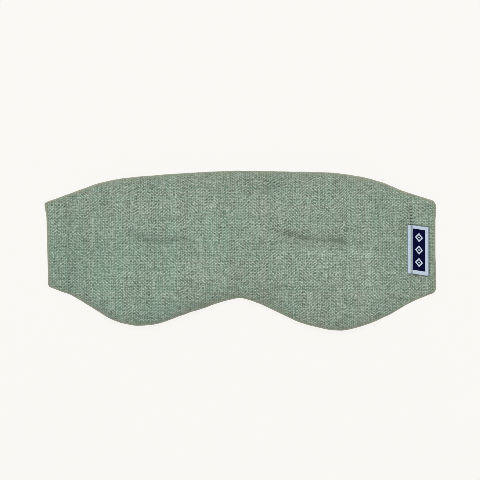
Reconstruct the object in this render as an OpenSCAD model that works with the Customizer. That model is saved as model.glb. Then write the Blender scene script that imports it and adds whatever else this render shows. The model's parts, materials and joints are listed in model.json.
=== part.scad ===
// Contoured eye pillow. A linen cover is sewn from a front and a back panel, turned right side out
// and closed by a topstitched flange at each end. Inside it lies an overlocked cotton bag of seeds.
// A folded label is caught in the right topstitch.
// The pillow lies on its back. +Z is up through the front panel, +Y is the brow edge, and the origin
// is on the resting plane under the middle of the outline. Left is -X.
// Each sewn piece is cut where the pillow bends: nose bridge, two wings, two end flanges.

/* [Outline] */
// Length from end to end
pillow_l = 235; // [220:1:250]
// Brow edge above the middle
brow_rise = 48; // [45:0.5:51]
// Nose notch below the middle
notch_drop = 28.5; // [26:0.5:31]
// Left cheek lobe below the middle
lobe_drop_l = 45; // [43:0.5:50]
// Right cheek lobe below the middle
lobe_drop_r = 48; // [43:0.5:50]
// Brow corner of each end above the middle
end_rise = 29; // [27:0.5:31]
// Cheek corner of the left end below the middle
end_drop_l = 20.6; // [20:0.2:24]
// Cheek corner of the right end below the middle
end_drop_r = 25.2; // [22:0.2:26]
// Corner radius of the left end, folded in and closed by the topstitch
corner_l = 1.2; // [0.8:0.1:2]
// Corner radius of the right end, sewn and turned
corner_r = 2.8; // [2:0.1:4]

/* [Filling] */
// Thickness in the middle of each lobe
lobe_t = 18; // [14:0.5:20]
// Thickness over the nose bridge
bridge_t = 12.5; // [10:0.5:14]
// Thickness of the bag's cotton
cotton_t = 0.4; // [0.3:0.05:0.5]
// Space between the cover and the bag
bag_clear = 0.8; // [0.6:0.05:1]

/* [Cover] */
// Linen thickness
linen_t = 0.7; // [0.5:0.05:0.8]
// Seam allowance inside the cover
allowance_w = 4; // [3:0.1:4.2]
// Width of the left flange, outside its topstitch
flange_w_l = 13; // [12:0.5:14]
// Width of the right flange, outside its topstitch
flange_w_r = 15; // [14:0.5:16]
// Thickness of each half of a flange, two layers of linen
flange_t = 1.4; // [1.2:0.05:1.6]
// Topstitch pitch
stitch_pitch = 1.85; // [1.8:0.05:3]
// Thread radius
thread_r = 0.28; // [0.2:0.02:0.32]

/* [Label] */
// Label width from stitched edge to free edge
label_w = 12.4; // [11:0.1:13]
// Label height
label_h = 29; // [24:1:34]
// Label thickness, two plies of woven tape
label_t = 0.5; // [0.4:0.05:0.7]

/* [Bending] */
// Distance between the two nose bridge fold lines
bridge_w = 28; // [24:1:32]
// Distance of each flange fold line inside its topstitch
flange_fold = 3.3; // [3:0.1:3.6]

/* [Hidden] */

LEFT = -1;
RIGHT = 1;
half_l = pillow_l / 2;
gap = 0.05;            // from the seam plane to each panel
fold_gap = 0.3;        // from a bridge fold line to each cut face
end_gap = 0.8;         // from a flange fold line to each cut face
bridge_end = bridge_w / 2 - fold_gap;
wing_start = bridge_w / 2 + fold_gap;

pinch_t = 1.1;         // half thickness along the topstitch and its fold line
pinch_w = 2.5;         // from the topstitch to the flange's full thickness
seam_z_end = 1.45;     // height of the edge seam at the flanges
seam_z_lobe = 5.5;     // and at the lobes, where the fill lifts it
seam_z_bridge = 4;     // and over the nose
lobe_x = 50;           // where the lobes reach full height
seam_fall_x = 62;      // beyond this the seam comes down to the flange
seam_fall = 30;        // lengths over which the seam, front and back
front_fall = 38;       // reach their flange heights
back_fall = 12;
back_flat = 0.6;       // share of the half width where the back lies flat

allowance_t = 0.55;
allowance_inset = 0.3; // from the edge to the turned-in allowance
seam_inset = 1.3;      // from the edge to its seam
seam_swing = 0.55;     // of the seam thread above and below the seam plane
bag_in = allowance_w + 1;
bag_seam_inset = bag_in + 0.15;
bag_taper = 6;         // length over which the bag closes at each end
seed_clear = 0.25;     // between the seeds and the cotton

// Pattern stations along each half, as shares of the half length, with the share of the rise or drop
// reached there. The two halves differ by the millimetre or two that hand sewing leaves.
// The inner cheek values run from notch to lobe, and the outer ones from lobe to end.
top_at = [0, 0.238, 0.46, 0.613, 0.732, 0.83, 0.92, 1];
top_l = [1, 0.942, 0.848, 0.749, 0.588, 0.375, 0.173, 0];
top_r = [1, 0.979, 0.942, 0.817, 0.628, 0.376, 0.196, 0.02];
bottom_at = [0, 0.089, 0.183, 0.302, 0.408, 0.506, 0.596, 0.672, 0.766, 0.86, 0.919, 1];
inner_l = [0, 0.128, 0.354, 0.634, 0.909, 1];
inner_r = [0, 0.144, 0.397, 0.732, 0.912, 1];
outer_l = [0.945, 0.802, 0.525, 0.258, 0.152, 0];
outer_r = [0.922, 0.793, 0.578, 0.3, 0.155, 0];

function side_of(x) = x < 0 ? LEFT : RIGHT;
function pick(side, left, right) = side == LEFT ? left : right;
function corner_of(side) = pick(side, corner_l, corner_r);
function stitch_of(side) = half_l - pick(side, flange_w_l, flange_w_r);
function end_fold_of(side) = stitch_of(side) - flange_fold;
function wing_end(side) = end_fold_of(side) - end_gap;
function bag_end(side) = end_fold_of(side) - bag_in;

function clamp(t) = min(1, max(0, t));
function ease(t) = let (c = clamp(t)) c * c * (3 - 2 * c);
function mix(a, b, t) = a + (b - a) * t;
function steps(a, b, n) = [for (i = [0:n]) mix(a, b, i / n)];

function top_values(side) = [for (k = pick(side, top_l, top_r)) mix(end_rise, brow_rise, k)];
function bottom_values(side) =
  let (lobe = pick(side, lobe_drop_l, lobe_drop_r), end = pick(side, end_drop_l, end_drop_r))
  concat(
    [for (k = pick(side, inner_l, inner_r)) -mix(notch_drop, lobe, k)],
    [for (k = pick(side, outer_l, outer_r)) -mix(end, lobe, k)]);

// Smooth curve through stations at with values, level at the first one.
function span_of(x, at, i = 0) = i >= len(at) - 2 || x <= at[i + 1] ? i : span_of(x, at, i + 1);
function slope_at(at, values, i) =
  let (before = max(i - 1, 0), after = min(i + 1, len(at) - 1))
  i == 0 ? 0 : (values[after] - values[before]) / (at[after] - at[before]);
function curve(x, at, values) =
  let (i = span_of(x, at), w = at[i + 1] - at[i], t = (x - at[i]) / w,
       start = slope_at(at, values, i) * w, end = slope_at(at, values, i + 1) * w)
  values[i] * (2 * t^3 - 3 * t^2 + 1) + start * (t^3 - 2 * t^2 + t)
    + values[i + 1] * (3 * t^2 - 2 * t^3) + end * (t^3 - t^2);
function corner_cut(x) =
  let (r = corner_of(side_of(x)), d = abs(x) - half_l + r)
  d <= 0 ? 0 : r - sqrt(max(0, r * r - d * d));
function y_top(x) = curve(abs(x) / half_l, top_at, top_values(side_of(x))) - corner_cut(x);
function y_bottom(x) =
  curve(abs(x) / half_l, bottom_at, bottom_values(side_of(x))) + corner_cut(x);
function edge_y(x, brow, inset) = brow ? y_top(x) - inset : y_bottom(x) + inset;

// Height of the seam plane, and how far the front stands above it and the back hangs below it.
function from_fold(x) = end_fold_of(side_of(x)) - abs(x);
function seam_z(x) =
  abs(x) > seam_fall_x ? mix(seam_z_end, seam_z_lobe, ease(from_fold(x) / seam_fall)) :
  mix(seam_z_bridge, seam_z_lobe, ease(abs(x) / lobe_x));
function puff(x) =
  let (lobe = lobe_t - seam_z_lobe - gap)
  abs(x) > lobe_x ? mix(pinch_t, lobe, (1 - (1 - clamp(from_fold(x) / front_fall))^2)^0.75) :
  mix(bridge_t - seam_z_bridge - gap, lobe, ease(abs(x) / lobe_x));
function sink(x) = mix(pinch_t, seam_z(x), ease(from_fold(x) / back_fall));
function flange_half_t(x) =
  mix(pinch_t, flange_t, ease(abs(abs(x) - stitch_of(side_of(x))) / pinch_w));

// Cross-section across the width: u runs from -1 at the cheek edge to 1 at the brow edge.
function round_front(u) = (1 - min(1, abs(u))^2.6)^0.62;
function round_back(u) = min(1, ((1 - min(1, abs(u))^3) / (1 - back_flat^3))^0.5);
function round_flange(u) = (1 - min(1, abs(u))^12)^0.5;

// Values of u, closer together near the edges.
function shares(n) = [for (j = [0:n]) -cos(180 * j / n)];
cover_shares = shares(12);
bag_shares = shares(10);
flange_shares = [-1, -0.97, -0.6, 0, 0.6, 0.97, 1];

// Grid points at stations xs and shares us, inset from both edges.
function grid(xs, us, inset, z) =
  [for (x = xs) let (low = edge_y(x, false, inset), high = edge_y(x, true, inset))
    [for (u = us) [x, mix(low, high, (u + 1) / 2), z(x, u)]]];
// Domed grids above and below the seam plane.
function above(xs, us, inset, rise) =
  grid(xs, us, inset, function (x, u) seam_z(x) + gap + rise(x) * round_front(u));
function below(xs, us, inset, drop, start = gap) =
  grid(xs, us, inset, function (x, u) seam_z(x) - start - drop(x) * round_back(u));

// Closed solid between an upper and a lower grid of the same size.
module between(upper, lower) {
  n = len(upper);
  m = len(upper[0]);
  function a(i, j) = i * m + j;
  function b(i, j) = n * m + i * m + j;
  quads = concat(
    [for (i = [0:n - 2], j = [0:m - 2]) [a(i, j), a(i, j + 1), a(i + 1, j + 1), a(i + 1, j)]],
    [for (i = [0:n - 2], j = [0:m - 2]) [b(i, j), b(i + 1, j), b(i + 1, j + 1), b(i, j + 1)]],
    [for (i = [0:n - 2]) [b(i, 0), a(i, 0), a(i + 1, 0), b(i + 1, 0)]],
    [for (i = [0:n - 2]) [a(i, m - 1), b(i, m - 1), b(i + 1, m - 1), a(i + 1, m - 1)]],
    [for (j = [0:m - 2]) [a(0, j), b(0, j), b(0, j + 1), a(0, j + 1)]],
    [for (j = [0:m - 2]) [a(n - 1, j), a(n - 1, j + 1), b(n - 1, j + 1), b(n - 1, j)]]);
  polyhedron(
    points = [for (row = concat(upper, lower)) each row],
    faces = [for (q = quads) each [[q[0], q[1], q[2]], [q[0], q[2], q[3]]]]);
}

// Thread of square section along a path that always advances in X (or in Y for along_y).
module thread(path, along_y = false) {
  n = len(path);
  r = thread_r;
  ring = along_y ? [[-r, 0, 0], [0, 0, -r], [r, 0, 0], [0, 0, r]] :
    [[0, -r, 0], [0, 0, r], [0, r, 0], [0, 0, -r]];
  polyhedron(
    points = [for (p = path) each [for (c = ring) p + c]],
    faces = concat(
      [for (i = [0:n - 2], k = [0:3]) let (a = i * 4 + k, b = i * 4 + (k + 1) % 4)
        each [[a, b, b + 4], [a, b + 4, a + 4]]],
      [[3, 2, 1, 0], [for (k = [0:3]) (n - 1) * 4 + k]]));
}

// Cover panels between two cut faces, each with the seam allowances turned in behind its edges.
// base is the allowances' underside, measured from the seam plane.
module allowances(xs, base) {
  function strip(brow, z) =
    [for (x = xs) let (y = edge_y(x, brow, brow ? allowance_w : allowance_inset))
      [for (w = [0, allowance_w - allowance_inset]) [x, y + w, seam_z(x) + z]]];
  for (brow = [false, true])
    between(strip(brow, base + allowance_t), strip(brow, base));
}
module front_panel(xs) {
  between(
    above(xs, cover_shares, 0, function (x) puff(x)),
    above(xs, cover_shares, linen_t, function (x) puff(x) - linen_t));
  allowances(xs, gap);
}
module back_panel(xs) {
  between(
    below(xs, cover_shares, linen_t, function (x) sink(x) - linen_t - gap),
    below(xs, cover_shares, 0, function (x) sink(x) - gap));
  allowances(xs, -gap - allowance_t);
}

// Halves of a flange: the panel and its folded allowance pressed flat, thinner towards the edges.
function mirrored(side, xs) = side == RIGHT ? xs : [for (i = [len(xs) - 1:-1:0]) -xs[i]];
function flange_xs(side) =
  let (c = corner_of(side), stitch = stitch_of(side))
  mirrored(side, [
    end_fold_of(side) + end_gap, stitch - 1, stitch, stitch + 1, stitch + 2.5,
    half_l - 1.5 - c, half_l - c, half_l - c * 0.5, half_l - c * 0.13, half_l]);
function flange_rise(x, u) =
  mix(0.45, 1, clamp((half_l - abs(x)) / 1.2)^0.5) * max(0.3, round_flange(u));
function flange_grid(side, z) = grid(flange_xs(side), flange_shares, 0, z);
module flange_front(side)
  between(
    flange_grid(side, function (x, u) seam_z_end + gap + flange_half_t(x) * flange_rise(x, u)),
    flange_grid(side, function (x, u) seam_z_end + gap));
module flange_back(side)
  between(
    flange_grid(side, function (x, u) seam_z_end - gap),
    flange_grid(side,
      function (x, u) seam_z_end - gap - (flange_half_t(x) - gap) * flange_rise(x, u)));

// The seed bag closes off short of the end folds. Its two sheets are overlocked at the rim.
function bag_close(x) = mix(0.35, 1, clamp((bag_end(side_of(x)) - abs(x)) / bag_taper)^0.5);
function bag_rise(x) = (puff(x) - linen_t - bag_clear) * bag_close(x);
function bag_drop(x) = (sink(x) - linen_t - bag_clear * 0.6) * bag_close(x);
// Bag surfaces moved in from the rim by inset and from the dome by depth, never flatter than least.
function bag_above(xs, inset, depth, least) =
  above(xs, bag_shares, bag_in + inset, function (x) max(bag_rise(x) - depth, least));
function bag_below(xs, inset, depth, least, start = gap) =
  below(xs, bag_shares, bag_in + inset, function (x) max(bag_drop(x) - depth, least), start);
module bag_front(xs)
  between(bag_above(xs, 0, 0, 0.4), bag_above(xs, cotton_t, cotton_t, 0.2));
module bag_back(xs)
  between(bag_below(xs, cotton_t, cotton_t, 0.1), bag_below(xs, 0, 0, 0.25));
module seed_fill(xs)
  between(
    bag_above(xs, cotton_t * 2, cotton_t + seed_clear, 0.1),
    bag_below(xs, cotton_t * 2, cotton_t + seed_clear, 0.05, start = gap * 0.5));
module bag_seam(xs)
  for (brow = [false, true])
    thread([for (x = xs) [x, edge_y(x, brow, bag_seam_inset), seam_z(x)]]);

// Lockstitch holding the two allowances, just inside the edge, in n half stitches.
function swing(i) = i % 2 == 0 ? seam_swing : -seam_swing;
module edge_seam(x0, x1, n)
  for (brow = [false, true])
    thread([for (i = [0:n]) let (x = mix(x0, x1, i / n))
      [x, edge_y(x, brow, seam_inset), seam_z(x) + swing(i)]]);
// The right end's seam carries on round the end. The left end is left open here and folded in.
module edge_seam_end(side) {
  inner = side * (end_fold_of(side) + end_gap);
  outer = side * (half_l - pick(side, corner_l + 0.6, 1.6));
  edge_seam(min(inner, outer), max(inner, outer), 8);
  if (side == RIGHT) {
    y0 = edge_y(outer, false, seam_inset);
    y1 = edge_y(outer, true, seam_inset);
    thread([for (i = [0:24]) [outer, mix(y0, y1, i / 24), seam_z_end + swing(i)]], along_y = true);
  }
}

// Folded label on the right flange: its base is stitched down, and its flap lifts about a line just
// outside the stitches.
label_z = seam_z_end + gap + flange_t + 0.05;
label_x0 = stitch_of(RIGHT) - 2.1;
label_hinge_x = stitch_of(RIGHT) + 0.9;
label_gap = 0.1;       // from the hinge line to each cut face

// Topstitch across an end: the top thread and the bobbin thread lock inside the layers.
module topstitch(side) {
  x = side * stitch_of(side);
  y0 = edge_y(x, false, 2.5);
  y1 = edge_y(x, true, 2.5);
  n = round((y1 - y0) / stitch_pitch);
  pitch = (y1 - y0) / n;
  function y_at(k) = y0 + k * pitch;
  function stitches(lock_z, face) = [for (k = [0:n - 1]) each [
    [x, y_at(k), lock_z],
    [x, y_at(k + 0.14), face(y_at(k))],
    [x, y_at(k + 0.86), face(y_at(k + 0.86))]]];
  // The top thread climbs over the label.
  thread(stitches(seam_z_end + 0.1, function (y)
    side == RIGHT && abs(y) < label_h / 2 + 0.4 ? label_z + label_t : seam_z_end + gap + pinch_t),
    along_y = true);
  thread(stitches(seam_z_end - 0.05, function (y) seam_z_end - pinch_t), along_y = true);
}

// Stations of each wing and its bag, as shares of the way out from the bridge.
wing_at = [0, 0.06, 0.14, 0.23, 0.32, 0.42, 0.52, 0.6, 0.68, 0.76, 0.83, 0.89, 0.94, 0.975, 1];
bag_at = [0, 0.09, 0.2, 0.33, 0.46, 0.58, 0.69, 0.78, 0.86, 0.92, 0.97, 1];
function sections(side, at, last) = mirrored(side, [for (k = at) mix(wing_start, last, k)]);
xs_bridge = steps(-bridge_end, bridge_end, 6);
xs_left = sections(LEFT, wing_at, wing_end(LEFT));
xs_right = sections(RIGHT, wing_at, wing_end(RIGHT));
xs_bag_left = sections(LEFT, bag_at, bag_end(LEFT));
xs_bag_right = sections(RIGHT, bag_at, bag_end(RIGHT));

sage = [0.53, 0.6, 0.53];
taupe = [0.55, 0.51, 0.43];
calico = [0.87, 0.83, 0.74];
seed = [0.45, 0.29, 0.17];
sewing = [0.46, 0.53, 0.46];

module front_panel_bridge() color(sage) front_panel(xs_bridge);
module back_panel_bridge() color(taupe) back_panel(xs_bridge);
module bag_front_bridge() color(calico) bag_front(xs_bridge);
module bag_back_bridge() color(calico) bag_back(xs_bridge);
module bag_seam_bridge() color(sewing) bag_seam(xs_bridge);
module seed_fill_bridge() color(seed) seed_fill(xs_bridge);
module edge_seam_bridge() color(sewing) edge_seam(-bridge_end, bridge_end, 10);

module front_panel_left() color(sage) front_panel(xs_left);
module back_panel_left() color(taupe) back_panel(xs_left);
module bag_front_left() color(calico) bag_front(xs_bag_left);
module bag_back_left() color(calico) bag_back(xs_bag_left);
module bag_seam_left() color(sewing) bag_seam(xs_bag_left);
module seed_fill_left() color(seed) seed_fill(xs_bag_left);
module edge_seam_left() color(sewing) edge_seam(-wing_end(LEFT), -wing_start, 34);

module front_panel_right() color(sage) front_panel(xs_right);
module back_panel_right() color(taupe) back_panel(xs_right);
module bag_front_right() color(calico) bag_front(xs_bag_right);
module bag_back_right() color(calico) bag_back(xs_bag_right);
module bag_seam_right() color(sewing) bag_seam(xs_bag_right);
module seed_fill_right() color(seed) seed_fill(xs_bag_right);
module edge_seam_right() color(sewing) edge_seam(wing_start, wing_end(RIGHT), 34);

module front_panel_left_end() color(sage) flange_front(LEFT);
module back_panel_left_end() color(taupe) flange_back(LEFT);
module edge_seam_left_end() color(sewing) edge_seam_end(LEFT);
module topstitch_left() color(sewing) topstitch(LEFT);

module front_panel_right_end() color(sage) flange_front(RIGHT);
module back_panel_right_end() color(taupe) flange_back(RIGHT);
module edge_seam_right_end() color(sewing) edge_seam_end(RIGHT);
module topstitch_right() color(sewing) topstitch(RIGHT);

module label_base()
  color("lightsteelblue")
    translate([label_x0, -label_h / 2, label_z])
      cube([label_hinge_x - label_gap - label_x0, label_h, label_t]);
module label_flap()
  color("lightsteelblue") {
    fold_r = label_t / 2;
    flap_x = label_hinge_x + label_gap;
    fold_x = label_x0 + label_w - fold_r;
    translate([flap_x, -label_h / 2, label_z]) cube([fold_x - flap_x, label_h, label_t]);
    translate([fold_x, label_h / 2, label_z + fold_r])
      rotate([90, 0, 0]) cylinder(r = fold_r, h = label_h, $fn = 32);
  }

front_panel_bridge();
back_panel_bridge();
bag_front_bridge();
bag_back_bridge();
bag_seam_bridge();
seed_fill_bridge();
edge_seam_bridge();
front_panel_left();
back_panel_left();
bag_front_left();
bag_back_left();
bag_seam_left();
seed_fill_left();
edge_seam_left();
front_panel_right();
back_panel_right();
bag_front_right();
bag_back_right();
bag_seam_right();
seed_fill_right();
edge_seam_right();
front_panel_left_end();
back_panel_left_end();
edge_seam_left_end();
topstitch_left();
front_panel_right_end();
back_panel_right_end();
edge_seam_right_end();
topstitch_right();
label_base();
label_flap();
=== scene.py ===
"""A contoured eye pillow: a linen cover with flat stitched ends, a bag of seeds, and a side label.

It lies with its length along X (left is -X), the brow edge at +Y and the nose notch at -Y.
The sage front faces +Z and the taupe back lies on z = 0. Shape work is in millimetres and
becomes metres when a mesh is made.
"""
import json
import math

import bpy
import numpy as np
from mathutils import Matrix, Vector


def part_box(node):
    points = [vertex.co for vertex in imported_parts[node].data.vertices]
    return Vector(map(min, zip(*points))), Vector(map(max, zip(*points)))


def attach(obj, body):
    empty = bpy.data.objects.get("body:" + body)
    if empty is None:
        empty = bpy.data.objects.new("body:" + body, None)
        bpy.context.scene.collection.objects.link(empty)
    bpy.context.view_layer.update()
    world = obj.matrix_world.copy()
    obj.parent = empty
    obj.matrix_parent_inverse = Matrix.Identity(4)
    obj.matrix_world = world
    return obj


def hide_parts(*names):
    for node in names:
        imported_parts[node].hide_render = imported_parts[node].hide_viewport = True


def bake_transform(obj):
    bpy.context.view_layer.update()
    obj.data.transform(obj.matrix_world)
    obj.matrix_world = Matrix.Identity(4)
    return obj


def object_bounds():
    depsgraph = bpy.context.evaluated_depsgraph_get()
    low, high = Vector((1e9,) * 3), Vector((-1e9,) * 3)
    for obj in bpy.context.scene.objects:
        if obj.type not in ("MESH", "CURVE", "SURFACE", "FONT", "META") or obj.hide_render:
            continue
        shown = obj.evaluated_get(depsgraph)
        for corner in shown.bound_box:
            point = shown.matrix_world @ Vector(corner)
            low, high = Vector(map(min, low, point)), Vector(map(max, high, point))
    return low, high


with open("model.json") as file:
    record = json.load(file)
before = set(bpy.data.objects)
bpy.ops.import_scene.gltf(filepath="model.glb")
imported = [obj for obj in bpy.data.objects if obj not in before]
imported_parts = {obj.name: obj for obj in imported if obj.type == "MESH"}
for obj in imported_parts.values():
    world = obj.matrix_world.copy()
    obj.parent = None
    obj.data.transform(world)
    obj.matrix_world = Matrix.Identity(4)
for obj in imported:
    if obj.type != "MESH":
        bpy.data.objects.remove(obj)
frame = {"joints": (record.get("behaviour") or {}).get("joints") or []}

MM = 0.001
SIDES = (("left", -1), ("right", 1))
SIGN = dict(SIDES)
JOINTS = {joint["name"]: joint for joint in frame["joints"]}
scene = bpy.context.scene


def joint_x(name):
    return JOINTS[name]["pos_m"][0] / MM


def middle_x(part):
    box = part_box(part)
    return (box[0][0] + box[1][0]) / 2 / MM


# ---------------------------------------------------------------- sizes, mm

CAD_LO, CAD_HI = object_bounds()
HALF = CAD_HI[0] / MM                                  # half the length
RISE = CAD_HI[1] / MM                                  # brow edge at the middle
DROP_R = -CAD_LO[1] / MM                               # lowest point of each cheek lobe
DROP_L = -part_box("front_panel_left")[0][1] / MM
NOTCH = 28.5                                           # lower edge at the middle
END_TOP, END_LOW_L, END_LOW_R = 29.0, 20.6, 25.2       # edges at the ends
LOBE_T = CAD_HI[2] / MM                                # thickness at the lobes
BRIDGE_T = 12.5                                        # and over the nose
SEAM_END, SEAM_LOBE, SEAM_BRIDGE = 1.45, 5.5, 4.0      # heights of the seam
FLAT = 1.4                                             # height of the flat flange over the seam
LINEN = 0.62                                           # cloth thickness
CUT = 90.0                                             # a panel has four lengths, cut at 0, +-CUT

FOLD = {side: sign * joint_x(f"{side}_end_flex") for side, sign in SIDES}
END_REACH = {"left": 3.9, "right": 3.8}                # half the width of each end bend
WING_BEND = (4.0, 24.0)                                # where a wing bend starts and ends

STITCH = {side: sign * middle_x(f"topstitch_{side}") for side, sign in SIDES}
STITCH_TOP_L, STITCH_LOW_L = STITCH["left"] + 1.5, STITCH["left"] - 0.4
STITCH_TOP_R, STITCH_LOW_R = STITCH["right"] + 0.4, STITCH["right"] + 0.7
LEAN_L, LEAN_R = -1.9, 0.3                             # how far a topstitch moves out, top to foot
PITCH = 1.83                                           # needle hole to needle hole
HOLE0 = 1.08                                           # y of one of the holes

BASE_BOX, FLAP_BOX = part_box("label_base"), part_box("label_flap")
LABEL_X0, LABEL_X1 = BASE_BOX[0][0] / MM, FLAP_BOX[1][0] / MM
LABEL_Y = (FLAP_BOX[1][1] - FLAP_BOX[0][1]) / 2 / MM   # half its width
LABEL_HINGE = joint_x("label_lift")
LABEL_T = (FLAP_BOX[1][2] - FLAP_BOX[0][2]) / MM
LABEL_Z = FLAP_BOX[0][2] / MM

# ---------------------------------------------------------------- outline

# Stations as fractions of HALF from the middle, and the share of the rise above END_TOP there.
TOP_AT = np.array([0, 0.238, 0.46, 0.613, 0.732, 0.83, 0.92, 1])
TOP_L = np.array([1, 0.942, 0.848, 0.749, 0.588, 0.375, 0.173, 0])
TOP_R = np.array([1, 0.979, 0.942, 0.817, 0.628, 0.376, 0.196, 0.02])
# The lower edge: shares of the drop from notch to lobe (in), then from end to lobe (out).
BOTTOM_AT = np.array([0, 0.089, 0.183, 0.302, 0.408, 0.506, 0.596, 0.672, 0.766, 0.86, 0.919, 1])
IN_L = np.array([0, 0.128, 0.354, 0.634, 0.909, 1])
IN_R = np.array([0, 0.144, 0.397, 0.732, 0.912, 1])
OUT_L = np.array([0.945, 0.802, 0.525, 0.258, 0.152, 0])
OUT_R = np.array([0.922, 0.793, 0.578, 0.3, 0.155, 0])


def bottom_profile(drop, end_low, inner, outer):
    return np.concatenate([-NOTCH - (drop - NOTCH) * inner, -end_low - (drop - end_low) * outer])


BOTTOM_L = bottom_profile(DROP_L, END_LOW_L, IN_L, OUT_L)
BOTTOM_R = bottom_profile(DROP_R, END_LOW_R, IN_R, OUT_R)

# A point of the cover is given by `along`, mm from the middle of the length, and `frac`, from 0
# at the lower edge to 1 at the brow edge.


def ease(t):
    t = np.clip(t, 0, 1)
    return t * t * (3 - 2 * t)


def mix(a, b, t):
    return a + (b - a) * t


def bell(x, width):
    return np.exp(-(x / width) ** 2)


def hermite(val_a, val_b, slope_a, slope_b, step, t):
    return (val_a * (2 * t**3 - 3 * t**2 + 1) + slope_a * step * (t**3 - 2 * t**2 + t)
            + val_b * (3 * t**2 - 2 * t**3) + slope_b * step * (t**3 - t**2))


def curve(x, knots, values):
    """Smooth curve through the stations, level at the first one."""
    slopes = np.zeros(len(knots))
    slopes[1:-1] = (values[2:] - values[:-2]) / (knots[2:] - knots[:-2])
    slopes[-1] = (values[-1] - values[-2]) / (knots[-1] - knots[-2])
    x = np.clip(x, knots[0], knots[-1])
    i = np.clip(np.searchsorted(knots, x, side="left") - 1, 0, len(knots) - 2)
    step = knots[i + 1] - knots[i]
    t = (x - knots[i]) / step
    return hermite(values[i], values[i + 1], slopes[i], slopes[i + 1], step, t)


def corner_cut(along):
    radius = np.where(along < 0, 1.3, 2.8)
    over = np.maximum(np.abs(along) - HALF + radius, 0)
    return radius - np.sqrt(np.maximum(radius * radius - over * over, 0))


def y_top(along):
    along = np.asarray(along, float)
    at = np.abs(along) / HALF
    left = END_TOP + (RISE - END_TOP) * curve(at, TOP_AT, TOP_L)
    right = END_TOP + (RISE - END_TOP) * curve(at, TOP_AT, TOP_R)
    return np.where(along < 0, left, right) - corner_cut(along)


def y_bottom(along):
    along = np.asarray(along, float)
    at = np.abs(along + slant(along, 0.0)) / HALF
    left, right = curve(at, BOTTOM_AT, BOTTOM_L), curve(at, BOTTOM_AT, BOTTOM_R)
    return np.where(along < 0, left, right) + corner_cut(along)


def slant(along, frac):
    """X shift: the left end is folded in off square, the right end's turned corners stand out."""
    left = (1.0 * ease((1 - frac) / 0.17) + 1.2 * (1 - frac)) * ease((-60 - along) / 57.5)
    corners = 0.12 + 0.42 * ease((0.42 - frac) / 0.22) + 0.42 * ease((frac - 0.84) / 0.08)
    return left + corners * ease((along - 104) / 13.5)


def place(along, frac):
    """Plan position of a point of the cover."""
    return along + slant(along, frac), mix(y_bottom(along), y_top(along), frac)


def stitch_along(along, frac):
    """Where the topstitch lies along the length, on the side of `along`."""
    return np.where(along < 0, -(STITCH_TOP_L + LEAN_L * (1 - frac)),
                    STITCH_TOP_R + LEAN_R * (1 - frac))


def inboard(along, frac):
    """Distance in from the topstitch; negative on the flange."""
    return np.abs(stitch_along(along, frac)) - np.abs(along)


def edge_distance(along, frac):
    """Distance in from the nearest edge, near enough for trims."""
    width = y_top(along) - y_bottom(along)
    return np.minimum(np.minimum(frac, 1 - frac) * width, HALF - np.abs(along))


# ---------------------------------------------------------------- smooth noise on the plane


class Noise:
    """Sum of seeded random plane waves, with lengths from lo to hi mm."""

    def __init__(self, seed, count, lo, hi):
        rng = np.random.default_rng(seed)
        wave = rng.uniform(lo, hi, count)
        angle = rng.uniform(0, 2 * math.pi, count)
        self.freq_x = np.cos(angle) * 2 * math.pi / wave
        self.freq_y = np.sin(angle) * 2 * math.pi / wave
        self.phase = rng.uniform(0, 2 * math.pi, count)

    def __call__(self, x, y):
        out = np.zeros(np.broadcast(x, y).shape)
        for freq_x, freq_y, phase in zip(self.freq_x, self.freq_y, self.phase):
            out += np.sin(freq_x * x + freq_y * y + phase)
        return out / math.sqrt(len(self.phase) / 2)


noise_big = Noise(11, 14, 26, 60)
noise_mid = Noise(12, 22, 10, 24)
noise_small = Noise(13, 30, 4.5, 9)
noise_edge = Noise(14, 24, 5, 13)
noise_stitch = Noise(15, 24, 5, 13)

# ---------------------------------------------------------------- heights


def seam_z(along, inset):
    dist = np.abs(along)
    outer = mix(SEAM_END, SEAM_LOBE, ease(inset / 33))
    inner = mix(SEAM_BRIDGE, SEAM_LOBE, ease(dist / 50))
    return np.where(dist > 62, outer, np.minimum(inner, outer))


def fill_height(along, inset):
    """How far the filled front stands above the seam plane in the middle of the width."""
    lobe = LOBE_T - SEAM_LOBE - 0.4
    body = mix(BRIDGE_T - SEAM_BRIDGE, lobe, ease(np.abs(along) / 48))
    return body * (1 - (1 - np.clip(inset / 44, 0, 1)) ** 2) ** 0.86


def flat_height(along, frac):
    """The flat flange: a rounded rim, and the turned-in allowance as a low ridge."""
    edge = edge_distance(along, frac)
    rim = np.sqrt(1 - (1 - np.clip(edge / 1.5, 0, 1)) ** 2)
    turned = 0.16 * bell(edge - 2.6, 1.9)
    return FLAT * rim + turned * rim


def front_z(along, frac):
    inset = inboard(along, frac)
    across = np.maximum(1 - np.abs(2 * frac - 1)**6, 0) ** 0.5
    height = np.hypot(flat_height(along, frac), fill_height(along, inset) * across)
    return seam_z(along, inset) + 0.004 + height


def back_z(along, frac):
    inset = inboard(along, frac)
    seam = seam_z(along, inset)
    across = np.minimum(np.maximum(1 - np.abs(2 * frac - 1)**3.0, 0) / 0.784, 1) ** 0.5
    deep = seam * across * ease(inset / 14)
    flat = np.minimum(flat_height(along, frac), seam - 0.004)
    return seam - 0.004 - np.minimum(np.maximum(deep, flat), seam - 0.004)


# ---------------------------------------------------------------- creases and tones

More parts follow.
